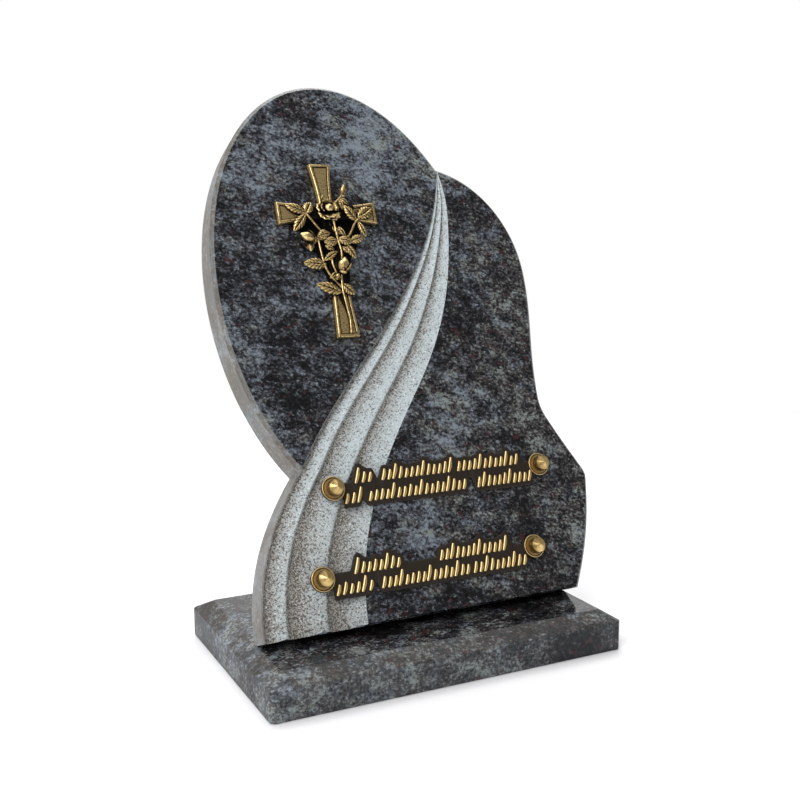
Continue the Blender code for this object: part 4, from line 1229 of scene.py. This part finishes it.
def stroke_tree():
    """Return the node tree that sets a stroke on every place and joins the ground."""
    tree = bpy.data.node_groups.new("strokes_on_ground", "GeometryNodeTree")
    for name, kind in (("Geometry", "Geometry"), ("Stroke", "Object"), ("Ground", "Object"),
                       ("Finish", "Material"), ("Lean", "Float")):
        tree.interface.new_socket(name, in_out="INPUT", socket_type="NodeSocket" + kind)
    tree.interface.new_socket("Geometry", in_out="OUTPUT", socket_type="NodeSocketGeometry")
    node = {name: tree.nodes.new(kind) for name, kind in STROKE_NODES.items()}
    node["tall"].data_type = "FLOAT"
    node["tall"].inputs["Name"].default_value = "height"
    node["scale"].inputs[0].default_value = node["scale"].inputs[2].default_value = 1
    node["back"].operation = "MULTIPLY"
    node["back"].inputs[1].default_value = -1
    for source, result, target, socket in STROKE_LINKS:
        tree.links.new(node[source].outputs[result], node[target].inputs[socket])
    return tree


def add_ground(casting, places, sizes, high):
    """Add the ground of a plaque as columns that follow its edges."""
    across, lower, upper = ground_edges(places, sizes)
    edge = ((0.0, GAP, 0.0), (0.0, high - 0.6, 0.05), (0.3, high - 0.1, 0.25), (0.8, high, 0.1))
    points, wear_and_shade = [], []
    for x, low, up in zip(across, lower, upper):
        points += [(x, low + inset, level) for inset, level, rub in edge]
        points += [(x, up - inset, level) for inset, level, rub in edge[::-1]]
        wear_and_shade += [rub for inset, level, rub in edge + edge[::-1]]
    casting.shell(points, ring_faces(len(across), 2 * len(edge)), wear_and_shade)


def add_ears(casting, ear, high):
    """Add the two ears, each a ring with a raised rim round the stud's hole."""
    profile = ((ear - 0.1, GAP, 0), (ear, GAP + 0.5, 0), (ear, high, 0.1), (ear - 0.15, high + 0.4, 0.5),
               (ear - 0.4, high + 0.6, 1.0), (ear - 0.8, high + 0.6, 0.9), (ear - 1.2, high + 0.3, 0.25),
               (ear - 1.5, high + 0.1, 0.5), (ear - 2.6, high + 0.05, 0.8),
               (EAR_HOLE + 0.65, high + 0.3, 0.85), (EAR_HOLE, high, 0.1), (EAR_HOLE, GAP, 0))
    for side in (-1, 1):
        casting.ring(profile, (side * STUD_SPACING / 2, 0), 56)


def make_plaque(level, middle, rows, sizes, tree, pattern, finish):
    """Cast one plaque: its ground, its ears and its rows of strokes."""
    places = stroke_places(rows, sizes)
    high = GAP + sizes.ground
    casting = Casting()
    add_ground(casting, places, sizes, high)
    add_ears(casting, sizes.ear, high)
    ground = casting.made(f"{level}_ground", None)
    feet = [(x - sizes.slant * h / 2, y, high) for x, y, h in places]
    plaque = mesh_object(f"{level}_inscription_casting", feet, [])
    heights = plaque.data.attributes.new("height", "FLOAT", "POINT")
    heights.data.foreach_set("value", np.array([h for x, y, h in places], np.float32))
    modifier = plaque.modifiers.new("Strokes", "NODES")
    modifier.node_group = tree
    inputs = {"Stroke": pattern, "Ground": ground, "Finish": finish, "Lean": math.atan(sizes.slant)}
    for item in tree.interface.items_tree:
        if item.name in inputs:
            modifier[item.identifier] = inputs[item.name]
    baked(plaque)
    bpy.data.objects.remove(ground, do_unlink=True)
    plaque.data.transform(Matrix.Translation((*middle, 0)))
    place(plaque, FACE, 50)
    finish_piece(plaque, "plaque_bronze", f"{level}_inscription_plaque")


class GRAVE_OT_plaques(bpy.types.Operator):
    """Cast the two inscription plaques with their rows of plain strokes."""

    bl_idname = "grave.plaques"
    bl_label = "Inscription Plaques"

    def execute(self, context):
        sizes = context.scene.grave_plaque
        finish = plaque_bronze("plaque_cast_bronze", context.scene.grave_bronze)
        tree, pattern = stroke_tree(), stroke_mesh(sizes)
        for level, (middle, rows) in PLAQUES.items():
            make_plaque(level, middle, rows, sizes, tree, pattern, finish)
        bpy.data.objects.remove(pattern, do_unlink=True)
        return {"FINISHED"}


# Studs

CONE_STEPS = (0.04, 0.12, 0.2, 0.3, 0.4, 0.5, 0.6, 0.7, 0.8, 0.88, 0.95, 1.0)


class GRAVE_OT_studs(bpy.types.Operator):
    """Turn the four brass studs, each a shank with a shallow cone on its cap."""

    bl_idname = "grave.studs"
    bl_label = "Studs"

    def execute(self, context):
        sizes = context.scene.grave_stud
        cap, shank, base = sizes.cap, sizes.shank, sizes.base
        edge, rim = base + sizes.edge, cap - sizes.taper
        finish = turned_brass("stud_turned_brass", context.scene.grave_bronze, rim)
        profile = [(shank, GAP), (shank, base - 0.6), (shank + 0.15, base - 0.2), (shank + 0.6, base),
                   (cap - 0.35, base), (cap - 0.08, base + 0.1), (cap, base + 0.4),
                   (rim + 0.16, edge - 0.4), (rim + 0.1, edge - 0.12), (rim - 0.15, edge)]
        profile += [((rim - 0.15) * (1 - t) + 0.4 * t, edge + sizes.cone * t ** 1.12)
                    for t in CONE_STEPS]
        for level, (middle, _) in PLAQUES.items():
            for side, sign in (("left", -1), ("right", 1)):
                centre = (middle[0] + sign * STUD_SPACING / 2, middle[1], 0)
                casting = Casting()
                casting.turned([(r, z, r) for r, z in profile], centre, steps=72)
                stud = casting.made(f"{level}_{side}_turned_stud", finish)
                stud.data.attributes["wear_and_shade"].name = "radius"
                layer = stud.data.uv_layers.new(name="turning")
                for loop in stud.data.loops:
                    spot = stud.data.vertices[loop.vertex_index].co
                    out, up = spot.x - centre[0], spot.y - centre[1]
                    layer.data[loop.index].uv = (math.hypot(out, up) / 10 + spot.z / 40,
                                                 math.atan2(up, out) / math.tau % 1)
                place(stud, FACE, 24)
                finish_piece(stud, "stud_brass", f"{level}_{side}_stud")
        return {"FINISHED"}


# Stage

FLOOR_HALF = 1.1
CAMERA_PLACE = (-0.3829, -0.7551, 0.3433)
CAMERA_TILT = 9.472
CAMERA_TURN = 26.699

# Softboxes as name, place, target, width and share of the key light's power
SOFTBOXES = (("key_softbox", (-1.5, -1.1, 1.7), (0, 0, 0.2), 1.1, 1.0),
             ("top_softbox", (0.1, 0.5, 2.2), (0, 0, 0.2), 1.4, 0.5),
             ("back_softbox", (0.7, 1.5, 1.8), (0.5, 1.1, 0), 1.6, 0.8))

# The side of the studio that the polished face mirrors, and what is left of its light
MIRRORED_SIDE = (0.5, -0.75, 0.43)
MIRRORED_LIGHT = 0.2


def add_floor(stage):
    """Lay the pale paper that the plaque stands on."""
    bm = bmesh.new()
    bmesh.ops.create_grid(bm, x_segments=1, y_segments=1, size=FLOOR_HALF)
    paper, tree, shader = new_material("floor_paper")
    shade = speckle(tree, face_coordinates(tree), 60, 2.0)
    pale = blend(tree, shade, stage.floor, tuple(c * 0.99 for c in stage.floor))
    wire(tree, shader, Base_Color=pale, Roughness=0.9, Specular_IOR_Level=0.1)
    object_from("floor", bm, paper)


def soft_lamp(name, where, target, width, power):
    """Add a square softbox turned towards a point."""
    data = bpy.data.lights.new(name, "AREA")
    data.size = width
    data.energy = power
    lamp = bpy.data.objects.new(name, data)
    lamp.location = where
    bpy.context.scene.collection.objects.link(lamp)
    lamp.rotation_euler = (Vector(target) - lamp.location).to_track_quat("-Z", "Y").to_euler()


def add_world(stage):
    """Fill the studio with light, dimmed on the side that the face mirrors."""
    world = bpy.data.worlds.new("studio")
    world.use_nodes = True
    tree = world.node_tree
    tree.nodes.clear()
    direction = add(tree, "TexCoord").outputs["Generated"]
    flag = add(tree, "VectorMath", {"operation": "DOT_PRODUCT"})
    tree.links.new(direction, flag.inputs[0])
    flag.inputs[1].default_value = Vector(MIRRORED_SIDE).normalized()
    dim = spread(tree, flag.outputs["Value"], 0.2, 0.8)
    lit = blend(tree, dim, (stage.fill,) * 3, (stage.fill * MIRRORED_LIGHT,) * 3)
    seen = add(tree, "LightPath").outputs["Is Camera Ray"]
    shade = blend(tree, seen, lit, (1.0, 1.0, 1.0))
    background = add(tree, "Background", Color=shade, Strength=1.0)
    output = add(tree, "OutputWorld")
    tree.links.new(background.outputs[0], output.inputs[0])
    bpy.context.scene.world = world


def add_camera(stage):
    """Set up the camera at the plaque's front left."""
    camera = bpy.data.objects.new("camera", bpy.data.cameras.new("camera"))
    camera.data.lens = stage.focal
    camera.data.sensor_width = 36
    camera.data.clip_start = 0.01
    camera.location = CAMERA_PLACE
    camera.rotation_euler = (math.radians(90 - CAMERA_TILT), 0, math.radians(-CAMERA_TURN))
    bpy.context.scene.collection.objects.link(camera)
    bpy.context.scene.camera = camera


class GRAVE_OT_stage(bpy.types.Operator):
    """Set the pale floor, the studio light and the camera."""

    bl_idname = "grave.stage"
    bl_label = "Stage"

    def execute(self, context):
        stage = context.scene.grave_stage
        add_floor(stage)
        for name, where, target, width, part in SOFTBOXES:
            soft_lamp(name, where, target, width, stage.key * part)
        add_world(stage)
        add_camera(stage)
        context.scene.view_settings.view_transform = "Standard"
        return {"FINISHED"}


class GRAVE_PT_panel(bpy.types.Panel):
    """List the pieces of the plaque with their settings."""

    bl_label = "Grave Plaque"
    bl_idname = "GRAVE_PT_panel"
    bl_space_type = "VIEW_3D"
    bl_region_type = "UI"
    bl_category = "Grave Plaque"

    def draw(self, context):
        for name, group in SETTINGS.items():
            column = self.layout.column(align=True)
            column.label(text=group.__doc__)
            settings = getattr(context.scene, name)
            for key in group.__annotations__:
                column.prop(settings, key)
        for operator in OPERATORS:
            self.layout.operator(operator.bl_idname)


SETTINGS = {"grave_granite": GraniteSettings, "grave_stele": SteleSettings,
            "grave_plinth": PlinthSettings, "grave_cross": CrossSettings,
            "grave_plaque": PlaqueSettings, "grave_stud": StudSettings,
            "grave_bronze": BronzeSettings, "grave_stage": StageSettings}
OPERATORS = (GRAVE_OT_stage, GRAVE_OT_plinth, GRAVE_OT_stele, GRAVE_OT_rose_cross,
             GRAVE_OT_plaques, GRAVE_OT_studs)


def register():
    """Register the classes and hang their settings on the scene."""
    for group in (*SETTINGS.values(), *OPERATORS, GRAVE_PT_panel):
        bpy.utils.register_class(group)
    for name, group in SETTINGS.items():
        setattr(bpy.types.Scene, name, bpy.props.PointerProperty(type=group))


def unregister():
    """Take the settings and the classes away again."""
    for name in SETTINGS:
        delattr(bpy.types.Scene, name)
    for group in (GRAVE_PT_panel, *reversed(OPERATORS), *SETTINGS.values()):
        bpy.utils.unregister_class(group)


def main():
    """Build every piece."""
    register()
    bpy.ops.grave.stage()
    bpy.ops.grave.plinth()
    bpy.ops.grave.stele()
    bpy.ops.grave.rose_cross()
    bpy.ops.grave.plaques()
    bpy.ops.grave.studs()


if __name__ == "__main__":
    main()
